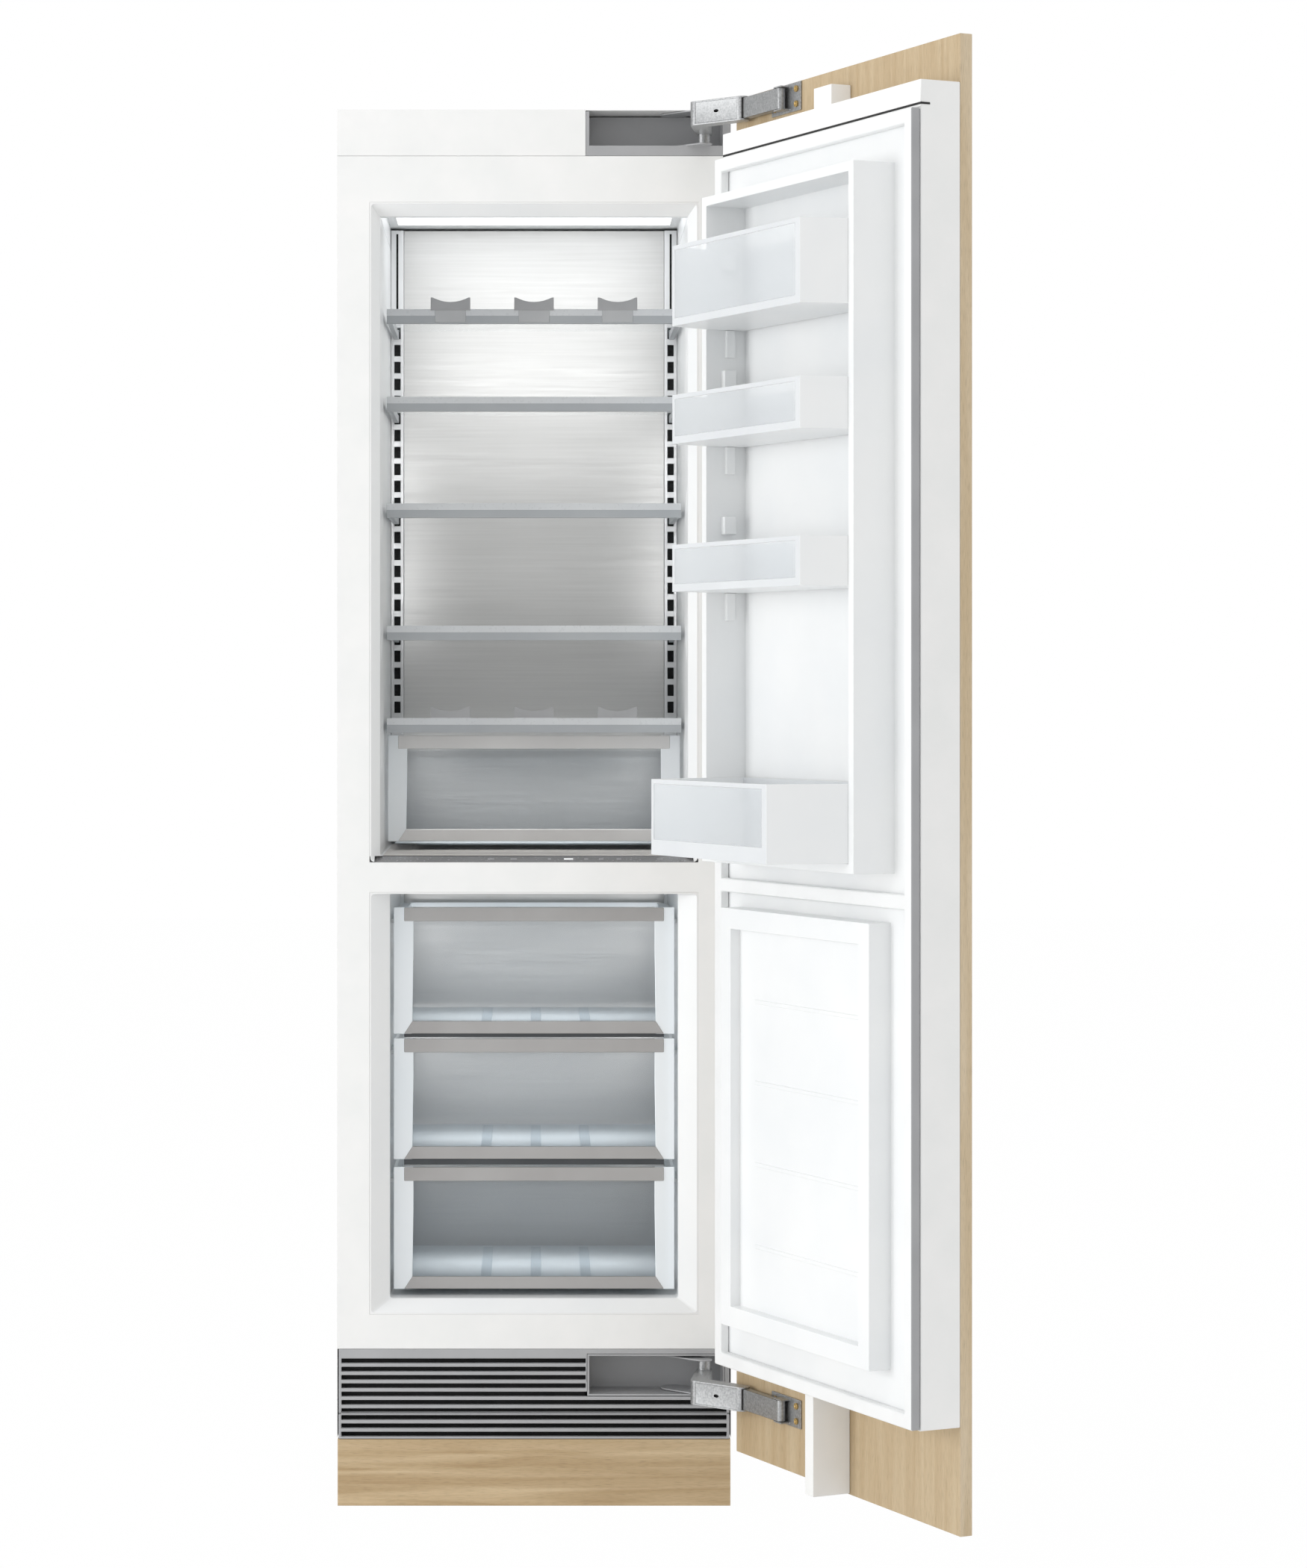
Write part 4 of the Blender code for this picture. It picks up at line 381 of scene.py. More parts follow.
# Control strip
# A strip of smoked toughened glass, smooth and gray, slopes up from the mullion to the sill.
# Its touch symbols are plain bars, printed on in gray, and a diode lights one of them.
smoked_glass = finish("smoked_touch_glass", ("#808081", "#878788"), (0.18, 0.28), 0.004, 0.00001,
                      IOR=1.52, Coat_Weight=0.5, Coat_Roughness=0.08)
touch_light = finish("touch_symbol_light", ("#D8DADB", "#E4E6E7"), (0.4, 0.5), 0.002, 0.00001,
                     Emission_Color=linear("#FFFFFF"), Emission_Strength=0.35)
touch_print = finish("touch_symbol_print", ("#9B9C9D", "#A4A5A6"), (0.4, 0.5), 0.002, 0.00001,
                     IOR=1.5)
dressed("control_panel", 0.0006, smoked_glass)
strip_low, strip_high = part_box("control_panel")
strip_foot = 0.983
strip_rise = math.atan2(strip_high.z - strip_foot, strip_high.y - strip_low.y)
symbol_line = (0, 0.0135, 0.98735)
symbol_sunk, symbol_proud = 0.0001, 0.0003
printed_half, lit_half = 0.002, 0.003
lit_symbol = 3
symbols = ((-0.066, 0.010), (-0.031, 0.010), (0.024, 0.004), (0.053, 0.014), (0.080, 0.006),
           (0.103, 0.007), (0.130, 0.007), (0.193, 0.009))
for count, (x, width) in enumerate(symbols):
    lit = count == lit_symbol
    half = lit_half if lit else printed_half
    symbol = block(f"touch_symbol_{count + 1}", (x - width / 2, -half, -symbol_sunk),
                   (x + width / 2, half, symbol_proud))
    round_edges(symbol, 0.0001)
    symbol.data.transform(Matrix.Translation(symbol_line) @ Matrix.Rotation(strip_rise, 4, "X"))
    fit(symbol, touch_light if lit else touch_print, "cabinet", "control_glass")

# Shelves
# Each shelf is a pane of toughened glass, clear with a faint green tint, in a moulded frame: a
# front trim, two side rails and two steel hooks. The trim's lower half is a cool gray and its
# upper half is painted paler, as light from above falls on it. The top and bottom shelves carry
# three bottle cradles of matt gray elastomer, whose feet before the trim are painted lighter, as
# the light falls on them.
shelf_gray = finish("moulded_shelf_trim", ("#A3A7AB", "#ABAFB2"), (0.3, 0.4), 0.004, 0.000005,
                    IOR=1.5)
shelf_trim_lit_band = finish("shelf_trim_painted_light", ("#C8CBCE", "#D0D3D5"), (0.26, 0.36), 0.004, 0.000005,
                    IOR=1.5)
cradle_gray = finish("cradle_elastomer", ("#9B9C9E", "#A3A4A6"), (0.45, 0.55), 0.002, 0.00001,
                     IOR=1.5)
cradle_foot_lit = finish("cradle_foot_painted_light", ("#ABADAF", "#B3B5B7"), (0.4, 0.5), 0.002, 0.00001,
                   IOR=1.5)
pane_glass = finish("toughened_glass", ("#DCE7E7", "#E4EDED"), (0.14, 0.2), 0.05, 0.00001,
                    IOR=1.52, Alpha=0.08)
trim_above_pane = 0.0077
pale_height = 0.0105
trim_back = 0.1605
lit_foot_back = 0.1497
pad_back, pad_drop = 0.1489, 0.0025
cradle_rise = 0.0008
for number in range(1, 6):
    node = f"shelf_frame_{number}"
    trim_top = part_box(f"shelf_glass_{number}")[0].z + trim_above_pane
    shelf = form_of(node)
    score(shelf, (0, 0, trim_top - pale_height), (0, 0, 1))
    round_edges(shelf, 0.0006)
    fit(shelf, shelf_gray, "cabinet", "shelf_trim", node)
    shelf.data.materials.append(shelf_trim_lit_band)
    shelf.data.materials.append(cradle_gray)
    shelf.data.materials.append(cradle_foot_lit)
    # The trim's upper band is painted light, and the cradles' feet are painted lighter as lit.
    for face in shelf.data.polygons:
        if face.center.y < trim_back and face.center.z > trim_top - pale_height:
            face.material_index = 1
        if face.center.y < lit_foot_back:
            face.material_index = 3
        if face.center.y < pad_back and face.center.z > trim_top - pad_drop:
            face.material_index = 2
        if face.center.z > trim_top + cradle_rise:
            face.material_index = 2
    dressed(f"shelf_glass_{number}", 0.0005, pane_glass)

# Painted floor shade
# A thin warm gray sheet on the floor of the upper compartment, under the crisper, is painted
# shade: it stands for the shadow on the floor that shows before the drawer.
floor_shade_gray = finish("painted_floor_shade", ("#D0CCC8", "#D7D3CF"), (0.4, 0.5), 0.004, 0.000005,
                        IOR=1.5)
shade_half = 0.232
shade_front, shade_rear = 0.0275, 0.44
shade_low, shade_high = 0.9921, 0.9931
# The gray sheet is painted shade on the floor.
threshold = block("crisper_floor_shade", (-shade_half, shade_front, shade_low),
                  (shade_half, shade_rear, shade_high))
round_edges(threshold, 0.0003)
fit(threshold, floor_shade_gray, "cabinet", "shelf_trim")

# Crisper and freezer drawers
# A drawer is a clear tray with a front of its own: a clear window in two frosted side frames,
# a satin trim along the top and a mitred one along the bottom. All is injection moulded. The
# freezer trays have three raised ribs in the floor, painted darker than the floor as shade along
# them, and the uppermost a frosted rear rim.
drawer_clear = finish("clear_drawer_plastic", ("#C9D6E0", "#D4DEE6"), (0.08, 0.14),
                      0.03, 0.000003, IOR=1.57, Alpha=0.06)
tray_clear = finish("clear_tray_plastic", ("#D6E0E8", "#DFE7ED"), (0.35, 0.45),
                    0.03, 0.000005, IOR=1.57, Alpha=0.06)
tray_floor = finish("frosted_tray_floor", ("#DFE9EF", "#E6EEF3"), (0.3, 0.4),
                    0.02, 0.00001, IOR=1.57, Alpha=0.9)
# The ribs' darker gray is painted shade along them.
tray_rib_shaded = finish("tray_rib_painted_shade", ("#B2C0CA", "#B9C6CF"), (0.3, 0.4), 0.02, 0.00001,
                  IOR=1.57)
frosted = finish("frosted_drawer_frame", ("#ECF2F6", "#F1F5F8"), (0.36, 0.38), 0.01, 0.000002,
                 IOR=1.57)
crisper_trim = finish("pale_satin_trim", ("#D3D2D1", "#DBDAD9"), (0.35, 0.45), 0.004, 0.000005,
                      Metallic=0.25)
drawer_trim = finish("satin_drawer_trim", ("#A9A7A6", "#B1B0AF"), (0.35, 0.45), 0.004, 0.000005,
                     Metallic=0.25)
side_at_top, side_at_foot = 0.0255, 0.0285
top_bar, low_bar = 0.0215, 0.0195
bar_end = 0.016
bar_gap = 0.0004
window_near, window_far = 0.0035, 0.0065
frame_near = 0.0012
joint_lap = 0.002


def drawer_front(name, body, trim):
    """Rebuilds a drawer's front as a window, two side frames and two trims."""
    low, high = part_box(name + "_front")
    half = high.x
    window = block(name + "_window",
                   (side_at_top - half, low.y + window_near, low.z + low_bar - joint_lap),
                   (half - side_at_top, low.y + window_far, high.z - top_bar + joint_lap))
    round_edges(window, 0.0004)
    fit(window, drawer_clear, body, "drawer_clear", name + "_front")
    for side in (-1, 1):
        inner = half - side_at_foot
        ends = sorted((side * (inner - joint_lap), side * half))
        side_frame = block(f"{name}_side_{'left' if side < 0 else 'right'}",
                           (ends[0], low.y + frame_near, low.z), (ends[1], high.y, high.z))
        slant = (-side * (high.z - low.z), 0, side_at_top - side_at_foot)
        score(side_frame, (side * inner, low.y, low.z), slant, take_off=True)
        round_edges(side_frame, 0.0012, 3)
        fit(side_frame, frosted, body, "drawer_clear")
    top = block(name + "_top_trim", (bar_end - half, low.y, high.z - top_bar),
                (half - bar_end, high.y - bar_gap, high.z - bar_gap))
    round_edges(top, 0.0015, 3)
    fit(top, trim, body, "shelf_trim")
    bottom = block(name + "_bottom_trim", (bar_end - half, low.y, low.z + bar_gap),
                   (half - bar_end, high.y - bar_gap, low.z + low_bar))
    for side in (-1, 1):
        score(bottom, (side * (half - bar_end), low.y, low.z),
              (side * low_bar, 0, side_at_foot - bar_end), take_off=True)
    round_edges(bottom, 0.0015, 3)
    fit(bottom, trim, body, "shelf_trim")


rim_height = 0.007
floor_height = 0.02
floor_area = 0.05
rear_rim_y = 0.2
rib_lines = (-0.075, 0.003, 0.081)
rib_half = 0.008
rib_low, rib_high = 0.0028, 0.0044
rib_front_gap, rib_rear_gap = 0.05, 0.03


def drawer_tray(name, body, ribbed, rimmed):
    """Gives a tray clear walls and a frosted floor, and may add ribs or a frosted rear rim."""
    low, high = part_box(name + "_tray")
    rim_z = high.z - rim_height
    tray = form_of(name + "_tray")
    score(tray, (0, 0, rim_z), (0, 0, 1))
    round_edges(tray, 0.0008)
    fit(tray, tray_clear, body, "drawer_clear", name + "_tray")
    tray.data.materials.append(tray_floor)
    tray.data.materials.append(frosted)
    for face in tray.data.polygons:
        level = abs(face.normal.z) > 0.9
        if level and face.center.z < low.z + floor_height and face.area > floor_area:
            face.material_index = 1
        if rimmed and face.center.z > rim_z and face.center.y > rear_rim_y:
            face.material_index = 2
    for count, x in enumerate(rib_lines if ribbed else ()):
        rib = block(f"{name}_floor_rib_{count + 1}",
                    (x - rib_half, low.y + rib_front_gap, low.z + rib_low),
                    (x + rib_half, high.y - rib_rear_gap, low.z + rib_high))
        round_edges(rib, 0.0006, 3)
        fit(rib, tray_rib_shaded, body, "drawer_clear")


drawer_front("crisper", "crisper", crisper_trim)
drawer_tray("crisper", "crisper", ribbed=False, rimmed=False)
for number in (1, 2, 3):
    drawer_front(f"drawer_{number}", f"drawer_{number}", drawer_trim)
    drawer_tray(f"drawer_{number}", f"drawer_{number}", ribbed=True, rimmed=number == 1)

# A dark strip under each of the two upper freezer fronts is painted shade, for the shadow in the gap.
gap_shade_gray = finish("painted_gap_shade", ("#3E4144", "#484B4E"), (0.5, 0.6), 0.003, 0.00001,
                  IOR=1.5)
gap_shade_end = 0.016
gap_shade_near, gap_shade_far = 0.003, 0.0006
gap_shade_lap = 0.0006
for number, drop in ((1, 0.0052), (2, 0.0085)):
    low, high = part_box(f"drawer_{number}_front")
    gap_shade_strip = block(f"drawer_{number}_lip", (low.x + gap_shade_end, low.y + gap_shade_near, low.z - drop),
                (high.x - gap_shade_end, high.y - gap_shade_far, low.z + gap_shade_lap))
    round_edges(gap_shade_strip, 0.0004)
    fit(gap_shade_strip, gap_shade_gray, f"drawer_{number}", "gasket_gray")

# Grilles and toe kick
# The air grille and the kick grille under it are rolled steel in gray powder coat, satin with
# a fine peel, and a dull black sheet behind them is painted shade, for the dark space behind the
# slats. The toe kick is an oak-faced board clipped to the feet.
grille_gray = finish("gray_powder_coat", ("#A9AAAC", "#B0B1B3"), (0.38, 0.5), 0.003, 0.00004,
                     IOR=1.5)
# The near-black sheet behind the grilles is painted shade.
grille_shade_dark = finish("dust_filter_mesh", ("#1A1A1B", "#242425"), (0.8, 0.95), 0.0015, 0.0003,
                     IOR=1.45)
dressed("upper_grille", 0.0012, grille_gray)
dressed("kick_grille", 0.0012, grille_gray)
shade_sheet_half = 0.295
shade_sheet_near, shade_sheet_far = 0.0112, 0.0128
shade_sheet_head = 0.236
shade_sheet_end = 0.002
box_gap = 0.003
box_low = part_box("hinge_box_bottom")[0]
box_side = box_low.x - box_gap
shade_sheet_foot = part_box("kick_grille")[0].z + shade_sheet_end
shade_sheets = ((-shade_sheet_half, box_side, shade_sheet_head),
           (box_side, shade_sheet_half, box_low.z - shade_sheet_end))
for count, (left, right, head) in enumerate(shade_sheets):
    shade_sheet = block(f"dust_filter_{count + 1}", (left, shade_sheet_near, shade_sheet_foot),
                   (right, shade_sheet_far, head))
    round_edges(shade_sheet, 0.0004)
    fit(shade_sheet, grille_shade_dark, "cabinet", "black_metal")

ring_width = 0.018
pore_width = 0.0008
pore_depth = 0.00015


def oak(name, pale, dark, turn, stretch):
    """Light oak under matt lacquer.

    Growth rings drift over some 18 mm of width, and dark pores, 0.3 mm wide and drawn as 0.8 mm
    so that they show, run with the grain.
    """
    material, shader = plain_finish(name, IOR=1.5)
    place = add_node(material, "ShaderNodeTexCoord", {}).outputs["Object"]
    laid = add_node(material, "ShaderNodeMapping", {"Vector": place, "Rotation": (0, 0, turn)})
    drawn = add_node(material, "ShaderNodeMapping", {"Vector": laid.outputs["Vector"],
                                                     "Scale": [1 / part for part in stretch]})
    rings = add_node(material, "ShaderNodeTexNoise", {
        "Vector": drawn.outputs["Vector"], "Scale": 1 / ring_width, "Detail": 6,
        "Distortion": 0.6})
    even = add_node(material, "ShaderNodeMapRange", {
        0: rings.outputs[0], 1: 0.3, 2: 0.7, 3: 0.0, 4: 1.0})
    figure = add_node(material, "ShaderNodeMix", {
        0: even.outputs[0], 6: linear(pale), 7: linear(dark)}, data_type="RGBA")
    pores = add_node(material, "ShaderNodeTexNoise", {
        "Vector": drawn.outputs["Vector"], "Scale": 1 / pore_width, "Detail": 2})
    depth = add_node(material, "ShaderNodeMapRange", {
        0: pores.outputs[0], 1: 0.50, 2: 0.70, 3: 1.0, 4: 0.80})
    shade = add_node(material, "ShaderNodeVectorMath", {
        0: figure.outputs[2], "Scale": depth.outputs[0]}, operation="SCALE")
    rough = add_node(material, "ShaderNodeMapRange", {
        0: pores.outputs[0], 1: 0.3, 2: 0.7, 3: 0.42, 4: 0.58})
    bump = add_node(material, "ShaderNodeBump", {"Height": depth.outputs[0],
                                                 "Distance": pore_depth})
    links = material.node_tree.links
    links.new(shade.outputs[0], shader.inputs["Base Color"])
    links.new(rough.outputs[0], shader.inputs["Roughness"])
    links.new(bump.outputs[0], shader.inputs["Normal"])
    return material


# The toe kick's grain is laid level.
oak_level = oak("oak_board_level_grain", "#D6C09C", "#AB8F67", 0.0, (22, 1, 1))
dressed("toe_kick", 0.0006, oak_level)

# Feet and rollers
# Two zinc plated levelling feet, bright and smooth, stand at the front, and a pair of dull
# black rubber rollers on an axle carries the back.
zinc_plate = finish("zinc_plated_steel", ("#B7B9BA", "#C6C8C9"), (0.25, 0.38), 0.003, 0.00002,
                    Metallic=0.95)
roller_rubber = finish("roller_rubber", ("#171717", "#202020"), (0.6, 0.75), 0.002, 0.00006,
                       IOR=1.5)
dressed("front_leg_left", 0.0008, zinc_plate)
dressed("front_leg_right", 0.0008, zinc_plate)
dressed("rear_rollers", 0.0015, roller_rubber)

# Cooling parts
# The compressor in its glossy black enamelled shell, its condenser of bright rolled fins and a
# black moulded fan stand on the base pan behind the grille; the evaporator and its fan hang
# behind the steel wall. All are out of sight in normal use.
shell_black = finish("black_enamelled_steel", ("#101011", "#19191A"), (0.3, 0.42), 0.004, 0.00005,
                     IOR=1.5, Coat_Weight=0.3)
fin_aluminium = finish("rolled_aluminium_fins", ("#B4B5B7", "#C4C5C7"), (0.3, 0.45),
                       0.003, 0.00003, stretch=(1, 1, 12), Metallic=1.0)
fan_plastic = finish("moulded_fan_plastic", ("#141415", "#1C1C1D"), (0.45, 0.6), 0.002, 0.00003,
                     IOR=1.5)
dressed("compressor", 0.001, shell_black)
coat("condenser", fin_aluminium)
coat("evaporator", fin_aluminium)
coat("condenser_fan", fan_plastic)
coat("evaporator_fan", fan_plastic)

# Hinges
# Each articulated hinge folds into a gray steel box. A pressed arm and a link of bright zinc
# plated steel turn on riveted pins, and a bracket holds them to the overlay panel with four
# yellow plated screws.
hinge_steel = finish("bright_zinc_hinge_steel", ("#989A9B", "#BBBCBD"), (0.34, 0.46),
                     0.003, 0.000012, drift=1, Metallic=0.85)
box_gray = finish("gray_coated_hinge_box", ("#A3A4A6", "#ABACAE"), (0.4, 0.5), 0.003, 0.00003,
                  IOR=1.5)
hole_radius, hole_depth = 0.0024, 0.006
hole_stretch = 1.9
dark_reach = 0.0062
dark_below = 0.0010


def pressed_arm(end):
    """The hinge arm with the raised border and oval hole of its pressed face, the hole painted shade."""
    node = "hinge_arm_" + end
    arm = form_of(node)
    front = max((face for face in arm.data.polygons if face.normal.y < -0.3),
                key=lambda face: face.area)
    middle, outward = front.center.copy(), front.normal.copy()
    for face in arm.data.polygons:
        face.select = face.index == front.index
    press(arm, border=0.0022, wall=0.0005, depth=0.0008)
    round_edges(arm, 0.0003)
    bpy.ops.object.select_all(action="DESELECT")
    bpy.ops.mesh.primitive_cylinder_add(vertices=28, radius=hole_radius, depth=hole_depth)
    bore = bpy.context.object
    lie = Matrix.Rotation(math.atan2(outward.y, outward.x), 4, "Z")
    bore.data.transform(Matrix.Translation(middle) @ lie
                        @ Matrix.Diagonal((1, hole_stretch, 1, 1))
                        @ Matrix.Rotation(math.radians(90), 4, "Y"))
    cut_out(arm, bore)
    fit(arm, hinge_steel, "hinge_arms", slot_of[node], node)
    # The hole's walls are painted near-black, as shade inside the hole.
    arm.data.materials.append(shade_black)
    for face in arm.data.polygons:
        offset = face.center - middle
        if offset.length < dark_reach and offset.dot(outward) < -dark_below:
            face.material_index = 1


for end in ("top", "bottom"):
    dressed("hinge_box_" + end, 0.0006, box_gray)
    pressed_arm(end)
    dressed("hinge_link_" + end, 0.001, hinge_steel)
    dressed("hinge_bracket_" + end, 0.0006, hinge_steel)

# Door
# The overlay panel is an oak-faced board. The door behind it is a folded steel shell in white
# powder coat with a moulded liner, foamed together, and a magnetic vinyl gasket.
swing = next(joint for joint in frame["joints"] if joint["name"] == "door_swing")
pivot = Matrix.Translation(swing["pos_m"])
open_angle = -math.radians(swing["range_deg"][0])
open_door = pivot @ Matrix.Rotation(open_angle, 4, "Z") @ pivot.inverted()
shut_door = open_door.inverted()
shut_turn = shut_door.to_3x3()


def shut_box(node):
    """Lowest and highest corner of a door node, measured with the door shut."""
    points = [shut_door @ vertex.co for vertex in nodes[node].data.vertices]
    return [Vector([pick(point[axis] for point in points) for axis in range(3)])
            for pick in (min, max)]


# Veneer faces the panel and a paler band covers its edges, with the grain upright on both.
oak_upright = oak("oak_board_upright_grain", "#C9B594", "#B79F7B", -open_angle, (1, 1, 22))
oak_band = oak("oak_edge_band", "#D8C6A9", "#C8B391", -open_angle, (1, 1, 22))
panel = dressed("oak_panel", 0.0008, oak_upright)
panel.data.materials.append(oak_band)
for face in panel.data.polygons:
    if abs((shut_turn @ face.normal).y) < 0.5:
        face.material_index = 1
dressed("door_shell", 0.0012, powder_white)
dressed("door_liner", 0.0009, liner_white)

# The gasket's face is white vinyl; its bellows on the door's free side are painted gray, as shade.
vinyl_white = finish("magnetic_gasket_face", ("#F0F1F1", "#EBECEC"), (0.45, 0.55),
                     0.003, 0.00001, IOR=1.52)
gasket_side_shade = finish("gasket_painted_side_shade", ("#A2A3A5", "#AAABAD"), (0.5, 0.62), 0.003, 0.00001,
                    IOR=1.52)
bellows_width = 0.006
seal = dressed("door_gasket", 0.0025, vinyl_white, 3)
seal.data.materials.append(gasket_side_shade)
bellows_x = shut_box("door_gasket")[0].x + bellows_width
for face in seal.data.polygons:
    if (shut_turn @ face.normal).x < -0.6 and (shut_door @ face.center).x < bellows_x:
        face.material_index = 1


def on_door(piece, material, slot):
    """Turns a piece that was made with the door shut to the open door, and fits it there."""
    piece.data.transform(open_door)
    fit(piece, material, "door", slot)


# Embossed lines cross the recess of the lower plug, where a moulded panel is stiffened.
shell_low, shell_high = shut_box("door_shell")
inner_face = shell_high.y
recess_depth = 0.018
recess_y = inner_face + recess_depth
line_left, line_right = -0.170, 0.139
line_half = 0.003
line_sunk, line_proud = 0.001, 0.0014
for count, height in enumerate((0.796, 0.679, 0.561, 0.4425)):
    rib = block(f"plug_rib_{count + 1}", (line_left, recess_y - line_sunk, height - line_half),
                (line_right, recess_y + line_proud, height + line_half))
    round_edges(rib, 0.0011, 3)
    on_door(rib, liner_white, "liner_white")

# A black seal lies under the shell's top cap, and spare lugs stand between the bins on the wall
# of the liner's dike.
cap_low = 2.0373
cap_seal_height, cap_seal_depth = 0.003, 0.014
free_side_proud, hinge_side_gap = 0.0006, 0.002
face_proud = 0.0009
cap_seal = block("cap_seal", (shell_low.x - free_side_proud, inner_face - cap_seal_depth,
                              cap_low - cap_seal_height),
                 (shell_high.x - hinge_side_gap, inner_face + face_proud, cap_low))
round_edges(cap_seal, 0.0004)
on_door(cap_seal, roller_rubber, "gasket_gray")
lug_left, lug_right = 0.1925, 0.2065
lug_near, lug_far = 0.020, 0.040
lug_height = 0.026
for count, foot in enumerate((1.857, 1.686, 1.473)):
    lug = block(f"spare_lug_{count + 1}", (lug_left, inner_face + lug_near, foot),
                (lug_right, inner_face + lug_far, foot + lug_height))
    round_edges(lug, 0.0015, 3)
    on_door(lug, liner_white, "liner_white")

# The brackets' screws have pan heads with a pressed recess, and the warm yellow of chromate.
yellow_zinc = finish("yellow_chromate_zinc", ("#B89A5E", "#CDB27A"), (0.3, 0.4), 0.003, 0.00001,
                     Metallic=0.9)
head_radius, head_depth = 0.0048, 0.0026
head_y = 0.0034
from_side, from_end = 0.012, 0.010
for end in ("top", "bottom"):
    low, high = shut_box("hinge_bracket_" + end)
    heads = []
    for x in (low.x + from_side, high.x - from_side):
        for z in (low.z + from_end, high.z - from_end):
            bpy.ops.object.select_all(action="DESELECT")
            bpy.ops.mesh.primitive_cylinder_add(vertices=24, radius=head_radius,
                                                depth=head_depth,
                                                location=(x, low.y + head_y, z),
                                                rotation=(math.radians(-90), 0, 0))
            head = bpy.context.object
            bpy.ops.object.transform_apply(location=True, rotation=True, scale=True)
            for face in head.data.polygons:
                face.select = face.normal.y > 0.9
            press(head, border=0.0022, wall=0.0004, depth=0.0012)
            heads.append(head)
    for head in heads:
        head.select_set(True)
    bpy.context.view_layer.objects.active = heads[0]
    bpy.ops.object.join()
    screws = bpy.context.object
    screws.name = f"bracket_screws_{end}"
    screws.data.name = screws.name
    round_edges(screws, 0.0006)
    on_door(screws, yellow_zinc, "hinge_steel")

# Door bins
# Four bins hang on the liner's lugs. Each is a white moulded tub with slanted ends and a clear
# window all along its front; the front faces of its rims are painted a cooler, darker gray, painted
# shade that tones down the light falling on them.
bin_white = finish("moulded_bin_plastic", ("#EEF0F1", "#F2F3F3"), (0.30, 0.38), 0.005, 0.000004,
                   IOR=1.55)
bin_clear = finish("clear_bin_window", ("#EDF2F6", "#F2F5F7"), (0.10, 0.16), 0.03, 0.00001,
                   IOR=1.57, Alpha=0.32)
bin_front_shaded = finish("bin_painted_front_shade", ("#D6D9DC", "#DCDFE1"), (0.30, 0.38), 0.005, 0.000004,
                 IOR=1.55)
shoulder_depth = 0.065
shoulder = inner_face + shoulder_depth
upper_bin = (0.016, 0.020, 0.011)
lowest_bin = (0.028, 0.042, 0.022)
rim_high = 0.0065
post_free, post_hinge = 0.013, 0.007
tub_wall, window_wall = 0.0026, 0.002
for number in (1, 2, 3, 4):
    node = f"door_bin_{number}"
    low, high = shut_box(node)
    taper_free, taper_hinge, rim_low = lowest_bin if number == 4 else upper_bin
    tub = block(node + "_tub", low, high)
    score(tub, (low.x, shoulder, 0), (shoulder - high.y, taper_free, 0), take_off=True)
    score(tub, (high.x, shoulder, 0), (high.y - shoulder, taper_hinge, 0), take_off=True)
    left, right = low.x + taper_free + post_free, high.x - taper_hinge - post_hinge
    window_foot, window_head = low.z + rim_low, high.z - rim_high
    for x in (left, right):
        score(tub, (x, 0, 0), (1, 0, 0))
    for z in (window_foot, window_head):
        score(tub, (0, 0, z), (0, 0, 1))
    for face in tub.data.polygons:
        face.select = face.normal.z > 0.9
    bpy.ops.object.mode_set(mode="EDIT")
    bpy.ops.mesh.select_mode(type="FACE")
    bpy.ops.mesh.delete(type="FACE")
    bpy.ops.object.mode_set(mode="OBJECT")
    for face in tub.data.polygons:
        face.select = (face.normal.y > 0.9 and left < face.center.x < right
                       and window_foot < face.center.z < window_head)
    bpy.ops.object.mode_set(mode="EDIT")
    bpy.ops.mesh.separate(type="SELECTED")
    bpy.ops.object.mode_set(mode="OBJECT")
    window = next(piece for piece in bpy.context.selected_objects if piece != tub)
    window.name = node + "_window"
    window.data.name = window.name
    for piece, wall in ((tub, tub_wall), (window, window_wall)):
        select_only(piece)
        thickness = piece.modifiers.new("wall", "SOLIDIFY")
        thickness.thickness = wall
        thickness.use_even_offset = True
        bpy.ops.object.modifier_apply(modifier=thickness.name)
        round_edges(piece, 0.0007)
        piece.data.transform(open_door)
    fit(tub, bin_white, "door", "bin_clear", node)
    tub.data.materials.append(bin_front_shaded)
    # The front faces are painted shade, darker than the rest of the tub.
    for face in tub.data.polygons:
        if (shut_turn @ face.normal).y > 0.9:
            face.material_index = 1
    fit(window, bin_clear, "door", "bin_clear")

# Floor
# A plain pale floor, matt to the lamps so that it keeps the object's soft shadow. To the camera
# it gives nearly all of its own white, so that it reads as a white ground.
floor_size = 30
seen_share = 0.985
bpy.ops.object.select_all(action="DESELECT")
bpy.ops.mesh.primitive_plane_add(size=floor_size, location=(0, 0, 0))
floor = bpy.context.object
floor.name = "floor"
pale_floor, shader = plain_finish("pale_floor", Base_Color=linear("#FAFAFA"), Roughness=0.9)
rays = add_node(pale_floor, "ShaderNodeLightPath", {})
share = add_node(pale_floor, "ShaderNodeMath", {0: rays.outputs["Is Camera Ray"], 1: seen_share},
                 operation="MULTIPLY")
glow = add_node(pale_floor, "ShaderNodeEmission", {"Strength": 1.0})
mixed = add_node(pale_floor, "ShaderNodeMixShader", {0: share.outputs[0],
                                                     1: shader.outputs[0],
                                                     2: glow.outputs[0]})
pale_floor.node_tree.links.new(mixed.outputs[0],
                               pale_floor.node_tree.nodes["Material Output"].inputs["Surface"])
floor.data.materials.append(pale_floor)

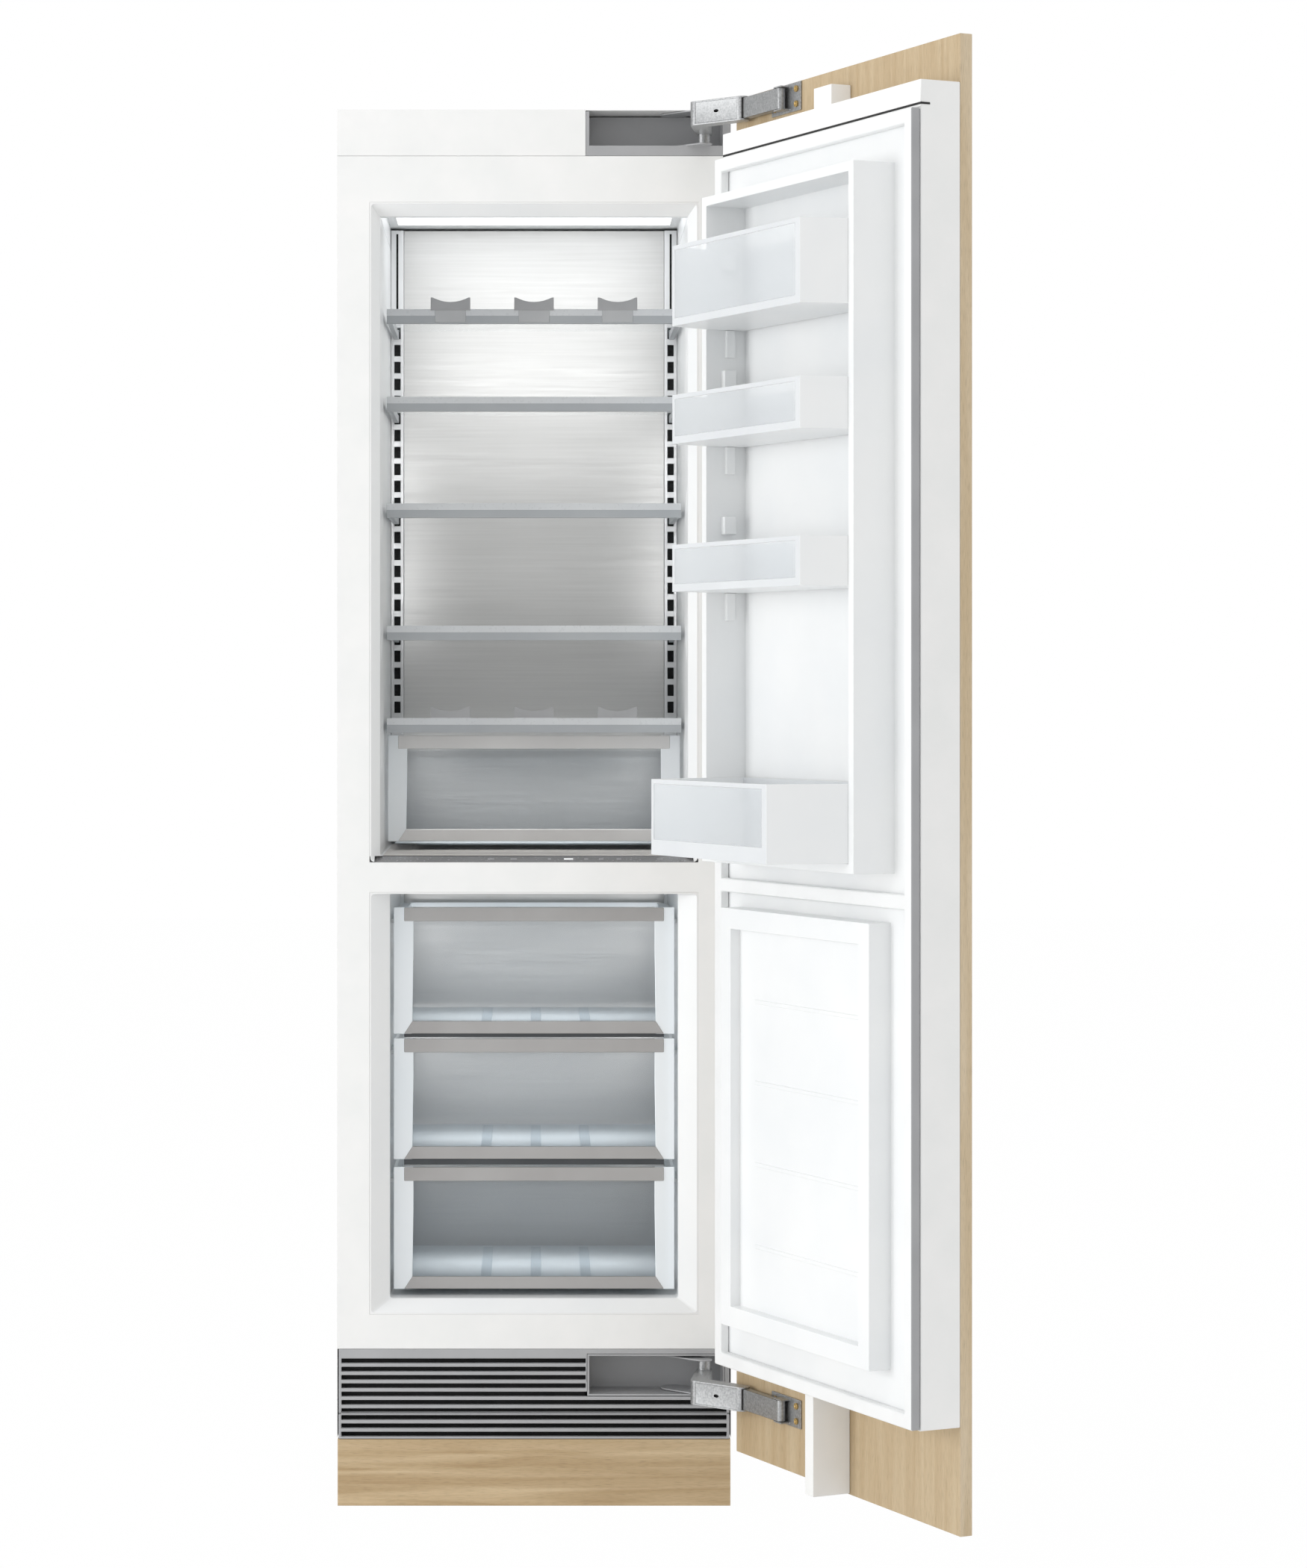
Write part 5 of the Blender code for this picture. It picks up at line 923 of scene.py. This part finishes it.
# Light
# An even white studio: the surround gives most of the light, and two large soft lamps, one at
# the left and one overhead, model the front. To the camera the surround is pure white, and in
# reflections a little darker, so that the steel keeps its tone.
light_level = 0.83
seen_gain = 0.17
mirrored_loss = 0.15
world = bpy.data.worlds.new("studio")
bpy.context.scene.world = world
world.use_nodes = True
rays = add_node(world, "ShaderNodeLightPath", {})
seen = add_node(world, "ShaderNodeMath", {0: rays.outputs["Is Camera Ray"], 1: seen_gain,
                                          2: light_level}, operation="MULTIPLY_ADD")
level = add_node(world, "ShaderNodeMath", {0: rays.outputs["Is Glossy Ray"], 1: -mirrored_loss,
                                           2: seen.outputs[0]}, operation="MULTIPLY_ADD")
surround = world.node_tree.nodes["Background"]
surround.inputs["Color"].default_value = (1, 1, 1, 1)
world.node_tree.links.new(level.outputs[0], surround.inputs["Strength"])


def soft_lamp(name, place, aim, power, width, tall=0, spread=180):
    """An area lamp turned towards a point; it is square unless it has a height of its own."""
    data = bpy.data.lights.new(name, "AREA")
    data.size = width
    if tall:
        data.shape = "RECTANGLE"
        data.size_y = tall
    data.energy = power
    data.spread = math.radians(spread)
    lamp = bpy.data.objects.new(name, data)
    lamp.location = place
    lamp.visible_camera = False
    lamp.rotation_euler = (Vector(aim) - Vector(place)).to_track_quat("-Z", "Y").to_euler()
    bpy.context.scene.collection.objects.link(lamp)


soft_lamp("key", (-5.0, -1.9, 1.4), (0.3, -0.3, 1.1), power=102, width=2.4)
soft_lamp("overhead", (0, -1.6, 4.4), (0, -0.1, 1.0), power=14, width=2.0)

# Small lamps stand for the side lenses' own light, and for the ceiling lamp's light as it
# reaches the back wall over each shelf.
wall_y = 0.463
lens_y, lens_z = 0.2, 1.50
for side, x in (("left", -0.228), ("right", 0.228)):
    soft_lamp("lens_glow_" + side, (x, lens_y, lens_z), (x, wall_y, lens_z), power=0.026,
              width=0.02, tall=0.36, spread=60)
bay_y = 0.175
bays = ((1.925, 0.14), (1.778, 0.165), (1.628, 0.08), (1.45, 0.033))
for count, (height, power) in enumerate(bays):
    soft_lamp(f"bay_glow_{count + 1}", (0, bay_y, height), (0, wall_y, height), power=power,
              width=0.42, tall=0.09, spread=120)

# More of them stand for the light that the clear drawers gather: one falls on the back of each
# tray, two on its rear corners and one on its floor.
tray_rear = 0.46
corner_x, corner_y, corner_rise = 0.18, 0.33, 0.045
overhead_y, overhead_drop = 0.26, 0.01
back_share, corner_share = 0.8, 0.13
trays = (("crisper_tray", 0.25, 0.075), ("drawer_1_tray", 0.19, 0.125),
         ("drawer_2_tray", 0.19, 0.11), ("drawer_3_tray", 0.19, 0.04))
for tray, start, power in trays:
    low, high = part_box(tray)
    middle = (low.z + high.z) / 2
    soft_lamp(tray + "_glow", (0, start, middle), (0, tray_rear, middle),
              power=power * back_share, width=0.40, tall=0.10, spread=100)
    for side, x in (("left", -corner_x), ("right", corner_x)):
        soft_lamp(f"{tray}_glow_{side}", (x, corner_y, middle + corner_rise),
                  (x, tray_rear, middle + corner_rise), power=power * corner_share,
                  width=0.06, tall=0.06, spread=120)
    soft_lamp(tray + "_floor_glow", (0, overhead_y, high.z - overhead_drop),
              (0, overhead_y, low.z), power=0.19, width=0.38, tall=0.12, spread=90)

bpy.context.scene.view_settings.view_transform = "Standard"
